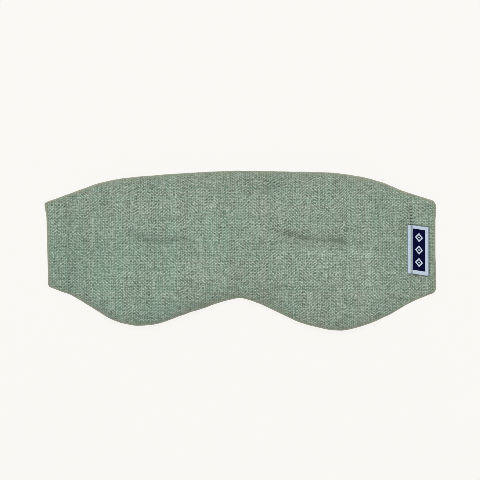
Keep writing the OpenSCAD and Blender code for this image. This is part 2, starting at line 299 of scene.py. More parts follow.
# Each crease: depth, roll width left and right of its run, share of the run that fades in and
# that fades out, rounding of the bottom, and the points (x, y) it runs through.
TUCKS = [
    # the two long tucks, one in each lobe
    (3.0, 2.2, 4.8, 0.3, 0.2, 0.6, [(-70, 13.5), (-64, 9.0), (-57, 5.4), (-44, 4.6), (-28, 6.6)]),
    (4.4, 2.3, 5.2, 0.34, 0.14, 0.6,
     [(12, 13.2), (22, 10.7), (31, 7.9), (42, 6.0), (54, 5.0), (68, 4.2)]),
    # soft pull lines above the nose, beside the notch and out in the lobes
    (1.5, 2.4, 4.0, 0.4, 0.4, 1.2, [(-4, 31.5), (10, 35.0), (22, 38.0), (32, 42.0)]),
    (1.2, 1.6, 2.6, 0.4, 0.4, 0.7, [(11, -28.5), (18, -25.0), (27, -20.0)]),
    (0.35, 2.6, 3.6, 0.4, 0.4, 0.6, [(-16, -24.0), (-24, -20.0), (-36, -17.5)]),
    (0.3, 3.0, 4.0, 0.4, 0.4, 0.6, [(-92, -8.0), (-80, -14.0), (-66, -17.0)]),
    (0.3, 4.0, 3.0, 0.4, 0.4, 0.6, [(90, 20.0), (78, 25.0), (64, 27.0)]),
]
# Painted shade down in the tucks; a negative depth adds to the tone.
TUCK_SHADES = [
    (-0.58, 2.8, 2.2, 0.25, 0.14, 1.0, [(-64, 8.2), (-57, 6.0), (-44, 5.6), (-30, 7.4)]),
    (-0.35, 2.4, 2.4, 0.4, 0.4, 1.0, [(-70, 15.0), (-66, 11.5), (-61, 8.0)]),
    (-0.42, 3.4, 1.2, 0.36, 0.12, 1.0,
     [(12, 12.6), (22, 10.2), (32, 8.2), (42, 6.8), (54, 5.9), (66, 5.0)]),
    (-0.72, 3.2, 3.2, 0.45, 0.35, 1.4, [(-6, 31.5), (6, 35.0), (17, 38.6), (30, 42.0)]),
    (-0.55, 1.8, 2.4, 0.35, 0.35, 1.0, [(10, -28.0), (18, -24.5), (28, -20.5)]),
]
# Painted highlight on the lit wall below the left tuck, in the same columns.
TUCK_LIGHT = (-1.0, 1.8, 2.2, 0.4, 0.4, 0.8, [(-62, 3.4), (-50, 2.6), (-38, 3.6)])


def crease(x, y, depth, left, right, fade_in, fade_out, rounding, points):
    """A tuck along a polyline: cloth rolls down to it on one side and climbs out on the other."""
    best = np.full(np.shape(x), 1e9)
    side = np.zeros(np.shape(x))
    along = np.zeros(np.shape(x))
    pairs = list(zip(points, points[1:]))
    total = sum(math.dist(start, end) for start, end in pairs)
    run = 0.0
    for start, end in pairs:
        length = math.dist(start, end)
        dir_x, dir_y = (end[0] - start[0]) / length, (end[1] - start[1]) / length
        t = np.clip((x - start[0]) * dir_x + (y - start[1]) * dir_y, 0, length)
        off_x, off_y = x - start[0] - t * dir_x, y - start[1] - t * dir_y
        dist = np.hypot(off_x, off_y)
        nearer = dist < best
        best = np.where(nearer, dist, best)
        side = np.where(nearer, dir_x * off_y - dir_y * off_x, side)
        along = np.where(nearer, (run + t) / total, along)
        run += length
    width = np.where(side > 0, left, right)
    taper = ease(along / fade_in) * ease((1 - along) / fade_out)
    return -depth * taper * np.exp(-(np.sqrt(best**2 + rounding**2) - rounding) / width)


def creases(x, y, table):
    return sum(crease(x, y, *row) for row in table)


def stitch_mark(along, y):
    """How hard each topstitch bites along its run."""
    left = 0.50 * ease((y - 16) / 5) + 0.75 * ease((-1 - y) / 4)
    right = (0.62 * ease((y - 13) / 2) * ease((28.5 - y) / 4)
             + 0.70 * ease((-12 - y) / 2) * ease((y + 25) / 3))
    return np.where(along < 0, left, right)


def hole_mark(along, y):
    """How plainly the needle holes show along each topstitch."""
    left = 0.12 + 0.40 * ease((y - 17) / 5) + 0.30 * ease((-2 - y) / 4)
    upper = 0.88 * ease((y - 13) / 2) * (0.45 + 0.55 * ease((23.3 - y) / 1.6))
    right = 0.12 + upper * ease((28 - y) / 2)
    right = right + 0.50 * ease((-13 - y) / 2) * ease((y + 25) / 5)
    return np.where(along < 0, left, right)


def hole_dent(y, inset, radius):
    """1 at each needle hole of the topstitch, fading over the radius."""
    off = np.abs(((y - HOLE0) / PITCH) % 1.0 - 0.5) * PITCH    # 0 midway between holes
    return np.exp(-((PITCH / 2 - off) ** 2 + inset**2) / radius**2)


def front_detail(x, y, along, frac, inset):
    """Creases, puckers and stitch dents of the front panel, in millimetres added to z."""
    edge = edge_distance(along, frac)
    z = np.zeros_like(x) + creases(x, y, TUCKS)
    # loose seeds under cloth
    seeds_under = 0.20 * noise_big(x, y) + 0.10 * noise_mid(x, y) + 0.035 * noise_small(x, y)
    z += ease(inset / 16) * ease(edge / 3.0) * seeds_under
    # puckers running in from the edge seam
    pucker = noise_edge(x + 0.35 * y, np.where(frac > 0.5, 40.0, -40.0)) + 0.5
    z += 0.13 * bell(edge - 2.4, 2.2) * pucker * ease(edge / 0.8)
    # puckers running in from the topstitches
    wave = noise_stitch(y, np.where(along < 0, 5.0, 60.0))
    inner = np.maximum(inset, 0)
    z += 0.22 * wave * bell(inner, 7.0) * ease(inner / 1.5)
    # the stitch groove, deeper across the label, and its holes
    bite = (0.14 + 0.86 * stitch_mark(along, y)
            + 0.6 * (along > 0) * ease((14.0 - np.abs(y - 1)) / 1.5))
    z += -0.30 * bell(inset, 1.0) * (1 + 0.6 * noise_edge(y, 3.0 * np.sign(along))) * bite
    z += (-0.40 * hole_dent(y, inset, 0.42) * ease(edge / 3.0)
          * (0.25 + 0.75 * hole_mark(along, y)))
    # flanges lie flat but not dead flat
    z += 0.10 * noise_mid(x + 9, y) * ease(-inset / 2.0) * ease(edge / 3)
    return z


def back_detail(x, y, along, frac, inset):
    """Puckers, stitch dents and soft hollows of the back panel, in millimetres added to z."""
    edge = edge_distance(along, frac)
    pucker = noise_edge(x + 80, np.where(frac > 0.5, 90.0, -90.0))
    z = 0.14 * bell(edge - 2.5, 2.4) * pucker * ease(edge / 0.8)
    z += 0.30 * bell(inset, 1.1)
    z += 0.28 * hole_dent(y, inset, 0.45) * ease(edge / 3.0)
    z += ease((edge - 3) / 5) * np.maximum(0.16 * noise_big(x, y) - 0.02, 0) * ease(inset / 10)
    return z


def tone(x, y, along, frac):
    """Painted shade (dark), painted highlights and paler runs of warp (light), and a cooler hue
    (cool) over the front.
    """
    width = y_top(along) - y_bottom(along)
    inset = inboard(along, frac)
    from_top, from_low = (1 - frac) * width, frac * width
    dark = creases(x, y, TUCK_SHADES)
    # painted shade along the brow edge, the lower edge, the foot of the left flange and left of the
    # notch
    dark = dark + 0.55 * bell(from_top, 14.0) * ease((100 - np.abs(along)) / 25)
    dark = (dark + 0.48 * bell(from_low, 5.0)
            + 0.28 * ease((-96 - along) / 6) * ease((-4 - y) / 10))
    dark = dark + 0.55 * bell(from_low, 6.0) * ease((x + 62) / 18) * ease((-6 - x) / 12)
    # painted shade along the topstitches
    dark = (dark + stitch_mark(along, y) * bell(inset, 0.9)
            + 0.16 * bell(along + STITCH["left"] + 1.0, 4.0))
    # painted highlight in a run under the right tuck
    light = (0.85 * bell(y + 1.6 + 0.02 * (x - 50), 3.6)
             * ease((x - 14) / 22) * ease((88 - x) / 16))
    # three runs of pale warp and a patch low on the right, then a painted highlight in a band beside
    # the right topstitch
    light = light + 0.42 * bell(x + 17.2, 3.8) * ease((y + 24) / 12) * ease((38 - y) / 10)
    light = light + 0.45 * bell(x - 50.0, 3.4) * ease((y + 28) / 10) * ease((48 - y) / 8)
    light = light + 0.40 * bell(x - 79.5, 4.5) * ease((y + 34) / 10) * ease((4 - y) / 8)
    light = light + 0.30 * np.exp(-((x - 94.0) / 6.5) ** 2 - ((y + 9.0) / 13.0) ** 2)
    light = light + 0.45 * bell(inset - 3.6, 3.2) * (along > 0)
    # painted highlight below the left tuck
    light = light + 0.35 * crease(x, y, *TUCK_LIGHT)
    cool = ease((24 - x) / 70) * ease((32 - y) / 36)
    return np.clip(dark, 0, 1.6), np.clip(light, 0, 1.2), cool


# ---------------------------------------------------------------- cloth simulation


def share(count, even):
    """Fractions from 0 to 1, closer at both ends as `even` falls from 1."""
    t = np.linspace(0, 1, count)
    return even * t + (1 - even) * (0.5 - 0.5 * np.cos(math.pi * t))


def cloth_settings(modifier):
    cloth = modifier.settings
    cloth.quality = 7
    cloth.mass = 0.25
    cloth.tension_stiffness = cloth.compression_stiffness = 18
    cloth.shear_stiffness = 6
    cloth.bending_stiffness = 0.12
    cloth.use_pressure = True
    cloth.uniform_pressure_force = 3.0
    cloth.shrink_min = -0.035
    cloth.vertex_group_mass = "hold"
    cloth.effector_weights.gravity = 0
    modifier.collision_settings.use_collision = False
    modifier.point_cache.frame_start, modifier.point_cache.frame_end = 1, 22


def simulate():
    """Blows the cover up off its pinned seams and flanges.

    Returns the coarse stations both ways, and how far the front and back points moved.
    """
    cols, rows = 105, 37
    last_frame = 20
    scale = 4.0 * MM                                        # simulated at four times size
    longest = 5.0                                           # mm a point may move
    col_at, row_at = np.linspace(-HALF + 0.4, HALF - 0.4, cols), share(rows, 0.75)
    along, frac = np.meshgrid(col_at, row_at, indexing="ij")
    x, y = place(along, frac)
    low_z = back_z(along, frac)
    front = np.stack([x, y, front_z(along, frac)], -1).reshape(-1, 3)
    back = np.stack([x, y, low_z], -1).reshape(-1, 3)
    rim = np.zeros((cols, rows), bool)
    rim[:, 0] = rim[:, -1] = rim[0, :] = rim[-1, :] = True
    count = cols * rows
    points = np.vstack([front, back])
    index_front = np.arange(count).reshape(cols, rows)
    index_back = np.where(rim, index_front, index_front + count)    # one point on the seam
    seam = rim.reshape(-1)
    points[:count][seam, 2] = (front[seam, 2] + back[seam, 2]) / 2
    faces = []
    for i in range(cols - 1):
        for j in range(rows - 1):
            a, b, c, d = (i, j), (i + 1, j), (i + 1, j + 1), (i, j + 1)
            faces.append([index_front[at] for at in (a, b, c, d)])
            faces.append([index_back[at] for at in (a, d, c, b)])
    faces = np.array(faces)
    used = np.unique(faces)
    new = np.full(len(points), -1)
    new[used] = np.arange(len(used))
    mesh = bpy.data.meshes.new("sim")
    mesh.from_pydata((points[used] * scale).tolist(), [], new[faces].tolist())
    ob = bpy.data.objects.new("sim", mesh)
    scene.collection.objects.link(ob)

    # pin the seam, the flanges, and the back where it touches the floor
    flange = np.clip(1 - inboard(along, frac) / 3.0, 0, 1).reshape(-1)
    hold = np.concatenate([np.maximum(flange, seam),
                           np.maximum(flange, (low_z < 0.25).reshape(-1))])
    group = ob.vertex_groups.new(name="hold")
    levels = np.round(hold[used], 2)
    for level in np.unique(levels):
        if level > 0:
            group.add(np.nonzero(levels == level)[0].tolist(), float(level), "REPLACE")
    cloth_settings(ob.modifiers.new("cloth", "CLOTH"))
    for number in range(1, last_frame + 1):
        scene.frame_set(number)
    settled = ob.evaluated_get(bpy.context.evaluated_depsgraph_get())
    coords = np.zeros(len(used) * 3)
    settled.data.vertices.foreach_get("co", coords)
    moved = points.copy()
    moved[used] = coords.reshape(-1, 3) / scale
    bpy.data.objects.remove(ob)
    bpy.data.meshes.remove(mesh)
    scene.frame_set(1)
    shift = moved - points
    length = np.linalg.norm(shift, axis=1, keepdims=True)
    shift *= np.minimum(1, longest / np.maximum(length, 1e-9))
    front_shift, back_shift = shift.reshape(2, cols, rows, 3)
    return col_at, row_at, front_shift, back_shift


def smooth_grid(field, times):
    for _ in range(times):
        pad = np.pad(field, ((1, 1), (1, 1), (0, 0)), mode="edge")
        field = (pad[:-2, 1:-1] + pad[2:, 1:-1] + pad[1:-1, :-2] + pad[1:-1, 2:]
                 + 4 * pad[1:-1, 1:-1]) / 8
    return field


def interpolate(knots, data, at):
    """Cubic interpolation of data (n, ...) along its first axis."""
    i = np.clip(np.searchsorted(knots, at) - 1, 0, len(knots) - 2)
    step = knots[i + 1] - knots[i]
    t = np.clip((at - knots[i]) / step, 0, 1)
    before, after = np.maximum(i - 1, 0), np.minimum(i + 2, len(knots) - 1)
    shape = (-1,) + (1,) * (data.ndim - 1)
    slope_a = (data[i + 1] - data[before]) / (knots[i + 1] - knots[before]).reshape(shape)
    slope_b = (data[after] - data[i]) / (knots[after] - knots[i]).reshape(shape)
    return hermite(data[i], data[i + 1], slope_a, slope_b, step.reshape(shape), t.reshape(shape))


def resample(col_at, row_at, field, new_cols, new_rows):
    out = interpolate(col_at, field, new_cols)
    return np.swapaxes(interpolate(row_at, np.swapaxes(out, 0, 1), new_rows), 0, 1)


SIM = simulate()

# ---------------------------------------------------------------- the cover's fine grids


def stations():
    """Columns along the length, closer at the topstitches and ends, with one on every cut."""
    def half(stitch_lo, stitch_hi):
        spans = [(0, CUT, 0.95), (CUT, stitch_lo - 1.4, 0.9),
                 (stitch_lo - 1.4, stitch_hi + 1.4, 0.36),
                 (stitch_hi + 1.4, HALF - 4.0, 0.8), (HALF - 4.0, HALF, 0.36)]
        out = [0.0]
        for start, end, step in spans:
            count = max(1, int(round((end - start) / step)))
            out += list(start + (end - start) * np.arange(1, count + 1) / count)
        return np.array(out)
    right = half(STITCH_TOP_R, STITCH_LOW_R)
    left = half(STITCH_LOW_L, STITCH_TOP_L)
    return np.concatenate([-left[:0:-1], right])


STATIONS = stations()


def grid_normals(points, flip=1.0):
    normals = np.cross(np.gradient(points, axis=0), np.gradient(points, axis=1)) * flip
    return normals / np.maximum(np.linalg.norm(normals, axis=-1, keepdims=True), 1e-12)


def sim_shift(front, rows, inset, edge):
    """The simulated movement on the fine grid: wrinkles kept, the broad swell mostly dropped."""
    col_at, row_at, front_shift, back_shift = SIM
    field = front_shift if front else back_shift
    broad = smooth_grid(field, 60)
    field = (field - broad) * 0.6 + broad * 0.12
    shift = resample(col_at, row_at, field, STATIONS, rows)
    shift *= (ease(inset / 3.0) * ease(edge / 0.6))[..., None]
    return shift


def press_under_label(points):
    """The cloth lies pressed flat under the label."""
    x, y, z = points[..., 0], points[..., 1], points[..., 2]
    away_x = np.maximum(np.maximum(LABEL_X0 - x, x - LABEL_X1 - 0.6), 0)
    away = np.hypot(away_x, np.maximum(np.abs(y - 0.4) - LABEL_Y - 0.7, 0))
    bed = LABEL_Z - 0.06 + 0.55 * away + 0.05 * away**2
    points[..., 2] = bed - np.logaddexp(0, (bed - z) / 0.05) * 0.05


def cover(front):
    """The outer face of one panel, as a grid of points with what its material needs."""
    rows = share(150 if front else 84, 0.6)
    along, frac = np.meshgrid(STATIONS, rows, indexing="ij")
    x, y = place(along, frac)
    inset, edge = inboard(along, frac), edge_distance(along, frac)
    points = np.stack([x, y, (front_z if front else back_z)(along, frac)], -1)
    if SIM is not None:
        points = points + sim_shift(front, rows, inset, edge)
    detail = front_detail if front else back_detail
    points[..., 2] += detail(points[..., 0], points[..., 1], along, frac, inset)
    seam = seam_z(along, inset)
    if front:
        press_under_label(points)
        points[..., 2] = np.maximum(points[..., 2], seam + 0.004)
    else:
        points[..., 2] = np.minimum(np.maximum(points[..., 2], 0.0), seam - 0.004)
    # the turned edge wanders in and out by a hair
    wander = 0.05 * noise_edge(along * 1.3, np.where(frac > 0.5, 17.0, -17.0)) * np.exp(-(edge / 2.0))
    points[..., 1] += np.where(frac > 0.5, 1, -1) * wander * (np.abs(along) < HALF - 1)
    # weave coordinates run along the cloth, so yarns crowd over the rounded edges from above
    step = np.diff(points, axis=1)
    up_cloth = np.concatenate([np.zeros((len(STATIONS), 1)),
                               np.cumsum(np.hypot(step[..., 1], step[..., 2]), axis=1)], axis=1)
    middle = np.array([np.interp(0.0, line[:, 1], up) for line, up in zip(points, up_cloth)])
    x, y, z = points[..., 0], points[..., 1], points[..., 2]
    if front:
        tones = tone(x, y, along, frac)
    else:
        # painted shade along the back's edges
        tones = (0.30 * np.exp(-(edge / 4.0) ** 2), np.zeros_like(edge), np.zeros_like(edge))
    return dict(along=along, frac=frac, points=points, inset=inset, edge=edge,
                normals=grid_normals(points, 1.0 if front else -1.0),
                weave_x=x + 0.02 * (z - 10) * np.sign(x),
                weave_y=up_cloth - middle[:, None], tones=np.stack(tones, -1))


FRONT, BACK = cover(True), cover(False)

# ---------------------------------------------------------------- mesh helpers


def quads(cols, rows, base=0, flip=False):
    i, j = np.meshgrid(np.arange(cols - 1), np.arange(rows - 1), indexing="ij")
    first = base + i * rows + j
    out = np.stack([first, first + rows, first + rows + 1, first + 1], -1).reshape(-1, 4)
    return out[:, ::-1] if flip else out


def shell(outer, inner, up=True):
    """Closed sheet between two grids of one size. Gives points and faces."""
    cols, rows = outer.shape[:2]
    count = cols * rows
    faces = [quads(cols, rows, 0, not up), quads(cols, rows, count, up)]
    ids = np.arange(count).reshape(cols, rows)
    for line, way in ((ids[:, 0], False), (ids[:, -1], True), (ids[0], True), (ids[-1], False)):
        a, b = line[:-1], line[1:]
        strip = np.stack([a, a + count, b + count, b], -1)
        faces.append(strip if way == up else strip[:, ::-1])
    return np.vstack([outer.reshape(-1, 3), inner.reshape(-1, 3)]), np.vstack(faces)


def sheet_normals(normals):
    """Normals of a sheet's outer and inner sides.

    The inner border keeps the outer side's, so that the cut edge between them shades cleanly.
    """
    inner = -normals
    for rim in (np.s_[:, 0], np.s_[:, -1], np.s_[0, :], np.s_[-1, :]):
        inner[rim] = normals[rim]
    return np.vstack([normals.reshape(-1, 3), inner.reshape(-1, 3)])


def make(name, points, faces, attributes, material, normals=None):
    """Smooth-shaded object from points in mm."""
    mesh = bpy.data.meshes.new(name)
    if isinstance(faces, np.ndarray):
        faces = faces.tolist()
    mesh.from_pydata((np.asarray(points, float) * MM).tolist(), [], faces)
    mesh.update()
    for key, values in attributes.items():
        attribute = mesh.attributes.new(key, "FLOAT_VECTOR", "POINT")
        attribute.data.foreach_set("vector", np.asarray(values, np.float32).ravel())
    mesh.polygons.foreach_set("use_smooth", np.full(len(mesh.polygons), True))
    if normals is not None:
        mesh.normals_split_custom_set_from_vertices(np.asarray(normals, float).tolist())
    mesh.validate()
    ob = bpy.data.objects.new(name, mesh)
    scene.collection.objects.link(ob)
    mesh.materials.append(material)
    return ob


def fit(piece, joint, side, slot, *cad_parts):
    """Bakes a piece's transform into its mesh and hides the CAD parts it stands for; the slot is not
    used.
    """
    if joint == "wing":
        near, far = WING_BEND
    else:
        near, far = FOLD[side] - END_REACH[side], FOLD[side] + END_REACH[side]
    sign = SIGN[side]
    sign * near * MM
    sign * far * MM
    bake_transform(piece)
    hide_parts(*cad_parts)


def label_drift(x):
    """How far the label hangs up or down at x: a little low at its free edge."""
    return 1.05 - 1.3 * ease((x - LABEL_X0 - 1.5) / (LABEL_X1 - LABEL_X0 - 1.5))


# ---------------------------------------------------------------- material helpers


def operator(kind, swapped=False):
    def method(self, other):
        return self.shader.calc(kind, *((other, self) if swapped else (self, other)))
    return method


class Value:
    """A number in a node tree. Arithmetic on it adds Math nodes."""

    def __init__(self, shader, socket):
        self.shader, self.socket = shader, socket

    __add__, __radd__ = operator("ADD"), operator("ADD", swapped=True)
    __sub__, __rsub__ = operator("SUBTRACT"), operator("SUBTRACT", swapped=True)
    __mul__, __truediv__ = operator("MULTIPLY"), operator("DIVIDE")

    def __abs__(self):
        return self.shader.calc("ABSOLUTE", self)


class Shader:
    """A material with one Principled surface, and short ways to add nodes."""

    def __init__(self, name):
        self.mat = bpy.data.materials.new(name)
        self.mat.use_nodes = True
        self.tree = self.mat.node_tree
        self.tree.nodes.clear()
        out = self.node("OutputMaterial")
        self.bsdf = self.node("BsdfPrincipled")
        self.tree.links.new(self.bsdf.outputs[0], out.inputs[0])

    def node(self, kind):
        return self.tree.nodes.new("ShaderNode" + kind)

    def put(self, socket, value):
        if isinstance(value, Value):
            value = value.socket
        if isinstance(value, bpy.types.NodeSocket):
            self.tree.links.new(value, socket)
        elif isinstance(value, (int, float)):
            socket.default_value = value
        else:
            value = tuple(value)
            if socket.type == "RGBA" and len(value) == 3:
                value += (1.0,)
            socket.default_value = value

    def calc(self, operation, a, b=0.0, clamp=False):
        node = self.node("Math")
        node.operation = operation
        node.use_clamp = clamp
        for socket, value in zip(node.inputs, (a, b, 0.0)):
            self.put(socket, value)
        return Value(self, node.outputs[0])

    def lerp(self, a, b, t):
        return self.calc("ADD", a, self.calc("SUBTRACT", b, a) * t)

    def step(self, x, lo, hi):
        node = self.node("MapRange")
        node.interpolation_type = "SMOOTHSTEP"
        self.put(node.inputs["Value"], x)
        self.put(node.inputs["From Min"], lo)
        self.put(node.inputs["From Max"], hi)
        return Value(self, node.outputs[0])

    def attribute(self, name):
        node = self.node("Attribute")
        node.attribute_name = name
        split = self.node("SeparateXYZ")
        self.tree.links.new(node.outputs["Vector"], split.inputs[0])
        return [Value(self, socket) for socket in split.outputs]

    def vector(self, at):
        """A vector socket from a tuple of three; a socket is passed through."""
        if not isinstance(at, tuple):
            return at
        node = self.node("CombineXYZ")
        for socket, value in zip(node.inputs, at):
            self.put(socket, value)
        return node.outputs[0]

    def noise(self, at, scale=1.0, detail=2.0, rough=0.5):
        at = self.vector(at)
        node = self.node("TexNoise")
        self.put(node.inputs["Vector"], at)
        node.inputs["Scale"].default_value = scale
        node.inputs["Detail"].default_value = detail
        node.inputs["Roughness"].default_value = rough
        return Value(self, node.outputs[0])

    def white(self, at):
        at = self.vector(at)
        node = self.node("TexWhiteNoise")
        node.noise_dimensions = "3D"
        self.put(node.inputs["Vector"], at)
        return Value(self, node.outputs[0])

    def color(self, a, b, t):
        node = self.node("Mix")
        node.data_type = "RGBA"
        node.clamp_factor = True
        self.put(node.inputs[0], t)
        self.put(node.inputs[6], a)
        self.put(node.inputs[7], b)
        return node.outputs[2]

    def scale_color(self, color, factor):
        node = self.node("VectorMath")
        node.operation = "SCALE"
        self.put(node.inputs[0], color)
        self.put(node.inputs["Scale"], factor)
        return node.outputs[0]

    def bump(self, height, distance, strength):
        node = self.node("Bump")
        node.inputs["Strength"].default_value = strength
        node.inputs["Distance"].default_value = distance
        self.put(node.inputs["Height"], height)
        self.put(self.bsdf.inputs["Normal"], node.outputs[0])

    def set(self, **inputs):
        for name, value in inputs.items():
            self.put(self.bsdf.inputs[name.replace("_", " ")], value)
        return self.mat


# ---------------------------------------------------------------- materials


def linen(name, deep, body, light, warm, cool, edge_tint, edge_wide, contrast, seed=0.0,
          warp_pitch=1.08, weft_pitch=0.93):
    """Plain weave from yarns that vary in shade along their length, with painted shade in the gaps at
    crossings.
    """
    tex = Shader(name)
    x, y, panel = tex.attribute("weave")
    inset, stitches, edge = tex.attribute("trim")
    fold_dark, fold_light, fold_cool = tex.attribute("fold")
    panel = panel + seed

    def cloth_noise(freq_x, freq_y, offset, detail=2.0, rough=0.5):
        return tex.noise((x * freq_x, y * freq_y, panel + offset), detail=detail, rough=rough)

    # yarn counts both ways, pulled about slowly and then finely
    drift_x = tex.noise((x * 0.045, y * 0.045, panel))
    drift_y = tex.noise((y * 0.05, x * 0.05, panel + 9.0))
    jitter_x = cloth_noise(0.34, 0.10, 5.0, detail=1.0)
    jitter_y = cloth_noise(0.10, 0.34, 15.0, detail=1.0)
    warp = x / warp_pitch + (drift_x - 0.5) * 1.6 + (jitter_x - 0.5) * 1.3
    weft = y / weft_pitch + (drift_y - 0.5) * 1.6 + (jitter_y - 0.5) * 1.3
    warp_id, weft_id = tex.calc("FLOOR", warp), tex.calc("FLOOR", weft)
    in_warp = warp - warp_id - 0.5
    in_weft = weft - weft_id - 0.5
    # which yarn is on top, and the place across and along it
    over = tex.calc("FLOORED_MODULO", warp_id + weft_id, 2.0)
    across, along = tex.lerp(in_warp, in_weft, over), tex.lerp(in_weft, in_warp, over)
    yarn_id = tex.lerp(warp_id, weft_id + 517.0, over)
    run = tex.lerp(y, x, over)
    yarn = tex.white((yarn_id, over, panel))
    yarn_hue = tex.white((yarn_id, over + 5.0, panel + 3.0))
    slub = tex.noise((run * 0.24, yarn_id * 3.7, panel), detail=3.0, rough=0.6)
    cell = tex.white((warp_id, weft_id, panel + 1.0))
    thick = (tex.step(tex.white((yarn_id, over + 8.0, panel)), 0.90, 0.93)
             * tex.step(tex.noise((run * 0.05, yarn_id * 5.1, panel + 7.0), detail=1.0),
                        0.52, 0.60))
    # a yarn swells and thins along its length, so the gap beside it opens and shuts; the open gap is
    # painted in shade
    swell = tex.noise((run * 0.62, yarn_id * 7.3, panel + 2.0), rough=0.6) - 0.5
    yarn_width = tex.calc("MAXIMUM", 0.90 + swell * 0.75, 0.5)
    off = across / yarn_width
    off_sq = off * off * 4.0
    along_sq = along * along * 4.0
    section = tex.calc("SQRT", tex.calc("MAXIMUM", 1.0 - off_sq * 0.98, 0.0))
    arch = 1.0 - along_sq * along_sq * 0.30 - along_sq * 0.30
    height = section * arch
    twist = tex.noise((run * 3.4 + across * 6.5, (across * 1.1 - run * 0.5) * 1.0, yarn_id),
                      rough=0.7)
    hair = tex.noise((across * 16.0, run * 1.1, yarn_id + 0.5), rough=0.7)
    # neighbouring diagonals catch the light in turn, patch by patch
    patch = tex.step(cloth_noise(0.17, 0.10, 22.0, detail=1.0), 0.44, 0.54)
    diagonal_up = tex.calc("COSINE", (warp + weft) * math.pi)
    diagonal_down = tex.calc("COSINE", (warp - weft) * math.pi) * -1.0
    diagonal = tex.lerp(diagonal_up, diagonal_down, patch)
    weft_pairs = tex.calc("COSINE", weft * math.pi)
    warp_pairs = tex.calc("COSINE", warp * math.pi)
    streak = cloth_noise(0.22, 0.012, 31.0, detail=3.0, rough=0.65)
    bar = cloth_noise(0.012, 0.25, 41.0, rough=0.6)
    cloud = cloth_noise(0.03, 0.03, 51.0)

    # each line adds one source of light and dark at its own weight
    # the yarns' round: painted shade in the gaps and down their sides, lighter on their crowns
    shade = (height - 0.50) * (0.52 * contrast)
    shade += (over - 0.5) * (0.10 * contrast)
    shade += diagonal * (0.205 * contrast)
    shade += weft_pairs * (0.045 * contrast)
    shade += warp_pairs * (0.05 * contrast)
    shade += (yarn - 0.5) * (0.15 * contrast)
    shade += (slub - 0.5) * (0.68 * contrast)
    shade += (cell - 0.5) * (0.40 * contrast)
    shade += swell * (0.85 * contrast)
    shade += (twist - 0.5) * 0.42
    shade += (hair - 0.5) * 0.30
    shade += thick * (0.30 * contrast)
    shade += (streak - 0.5) * 0.24
    shade += (bar - 0.5) * 0.06
    shade += (cloud - 0.5) * 0.12
    color = tex.color(body, deep, tex.calc("MULTIPLY", shade, -1.55, clamp=True))
    color = tex.color(color, light, tex.calc("MULTIPLY", shade, 1.35, clamp=True))
    # warm and cool yarns and areas
    hue = (yarn_hue - 0.5) * 0.9 + (cloth_noise(0.05, 0.03, 61.0) - 0.5) * 1.15
    hue = hue - fold_cool * 0.30
    color = tex.color(color, warm, tex.calc("MULTIPLY", hue, 0.42, clamp=True))
    color = tex.color(color, cool, tex.calc("MULTIPLY", hue, -0.42, clamp=True))
    # the edge: a narrow tint over a wider one, in mm from the rim; on the sage front the narrow tint
    # is a painted highlight where the turned edge catches light
    rim = 1.0 - tex.step(edge, 0.2, 0.95)
    color = tex.color(color, edge_tint, rim * 0.76)
    color = tex.color(color, edge_wide, (1.0 - tex.step(edge, 0.4, 3.4)) * 0.42)
    # painted shade and painted highlights from the front's tones
    color = tex.scale_color(color, 1.0 + fold_light * 0.13 - fold_dark * 0.15)

    # painted shade in the needle holes and the groove between them
    from_hole = (tex.calc("FRACT", stitches) - 0.0) * PITCH
    near = tex.calc("MINIMUM", from_hole, PITCH - from_hole)
    dist_sq = near * near + inset * inset
    mark, label_x, label_y = tex.attribute("bite")
    hole = (1.0 - tex.step(dist_sq, 0.10, 0.46)) * mark
    hole = hole * tex.step(edge, 1.5, 3.5)
    broken = tex.step(tex.noise((stitches * 0.35, 4.0, panel), rough=0.6), 0.40, 0.62)
    groove = (1.0 - tex.step(abs(inset), 0.1, 0.9)) * (broken * 0.04)
    color = tex.color(color, deep, groove * tex.step(edge, 0.5, 2.0))
    color = tex.color(color, tuple(0.35 * channel for channel in deep), hole * 0.97)

    # painted shadow round the label's free edges, and again below its left half
    half_x, half_y = (LABEL_X1 - LABEL_X0) / 2 + 0.15, LABEL_Y + 0.1
    out = tex.calc("MAXIMUM", abs(label_x) - half_x, abs(label_y) - half_y)
    painted_label_shadow = (tex.step(out, -0.7, 0.0) * (1.0 - tex.step(out, 0.45, 1.15))
             * tex.step(label_x, -half_x, 1.5 - half_x))
    low = (tex.step(label_y, -half_y - 2.3, -half_y - 1.0)
           * (1.0 - tex.step(label_y, -half_y - 0.3, -half_y + 0.4)))
    low = low * (tex.step(label_x, -half_x - 0.3, 0.6 - half_x)
                 * (1.0 - tex.step(label_x, -1.5, 1.5)))
    color = tex.scale_color(color, 1.0 - tex.calc("MAXIMUM", painted_label_shadow * 0.36, low * 0.42))
    tex.bump(height + (twist * 0.22 + hair * 0.14), distance=0.00015, strength=0.75)
    return tex.set(Base_Color=color, Roughness=0.82 + slub * 0.14, Specular_IOR_Level=0.22,
                   Sheen_Weight=0.22, Sheen_Roughness=0.55, Sheen_Tint=(0.85, 0.95, 0.85, 1))


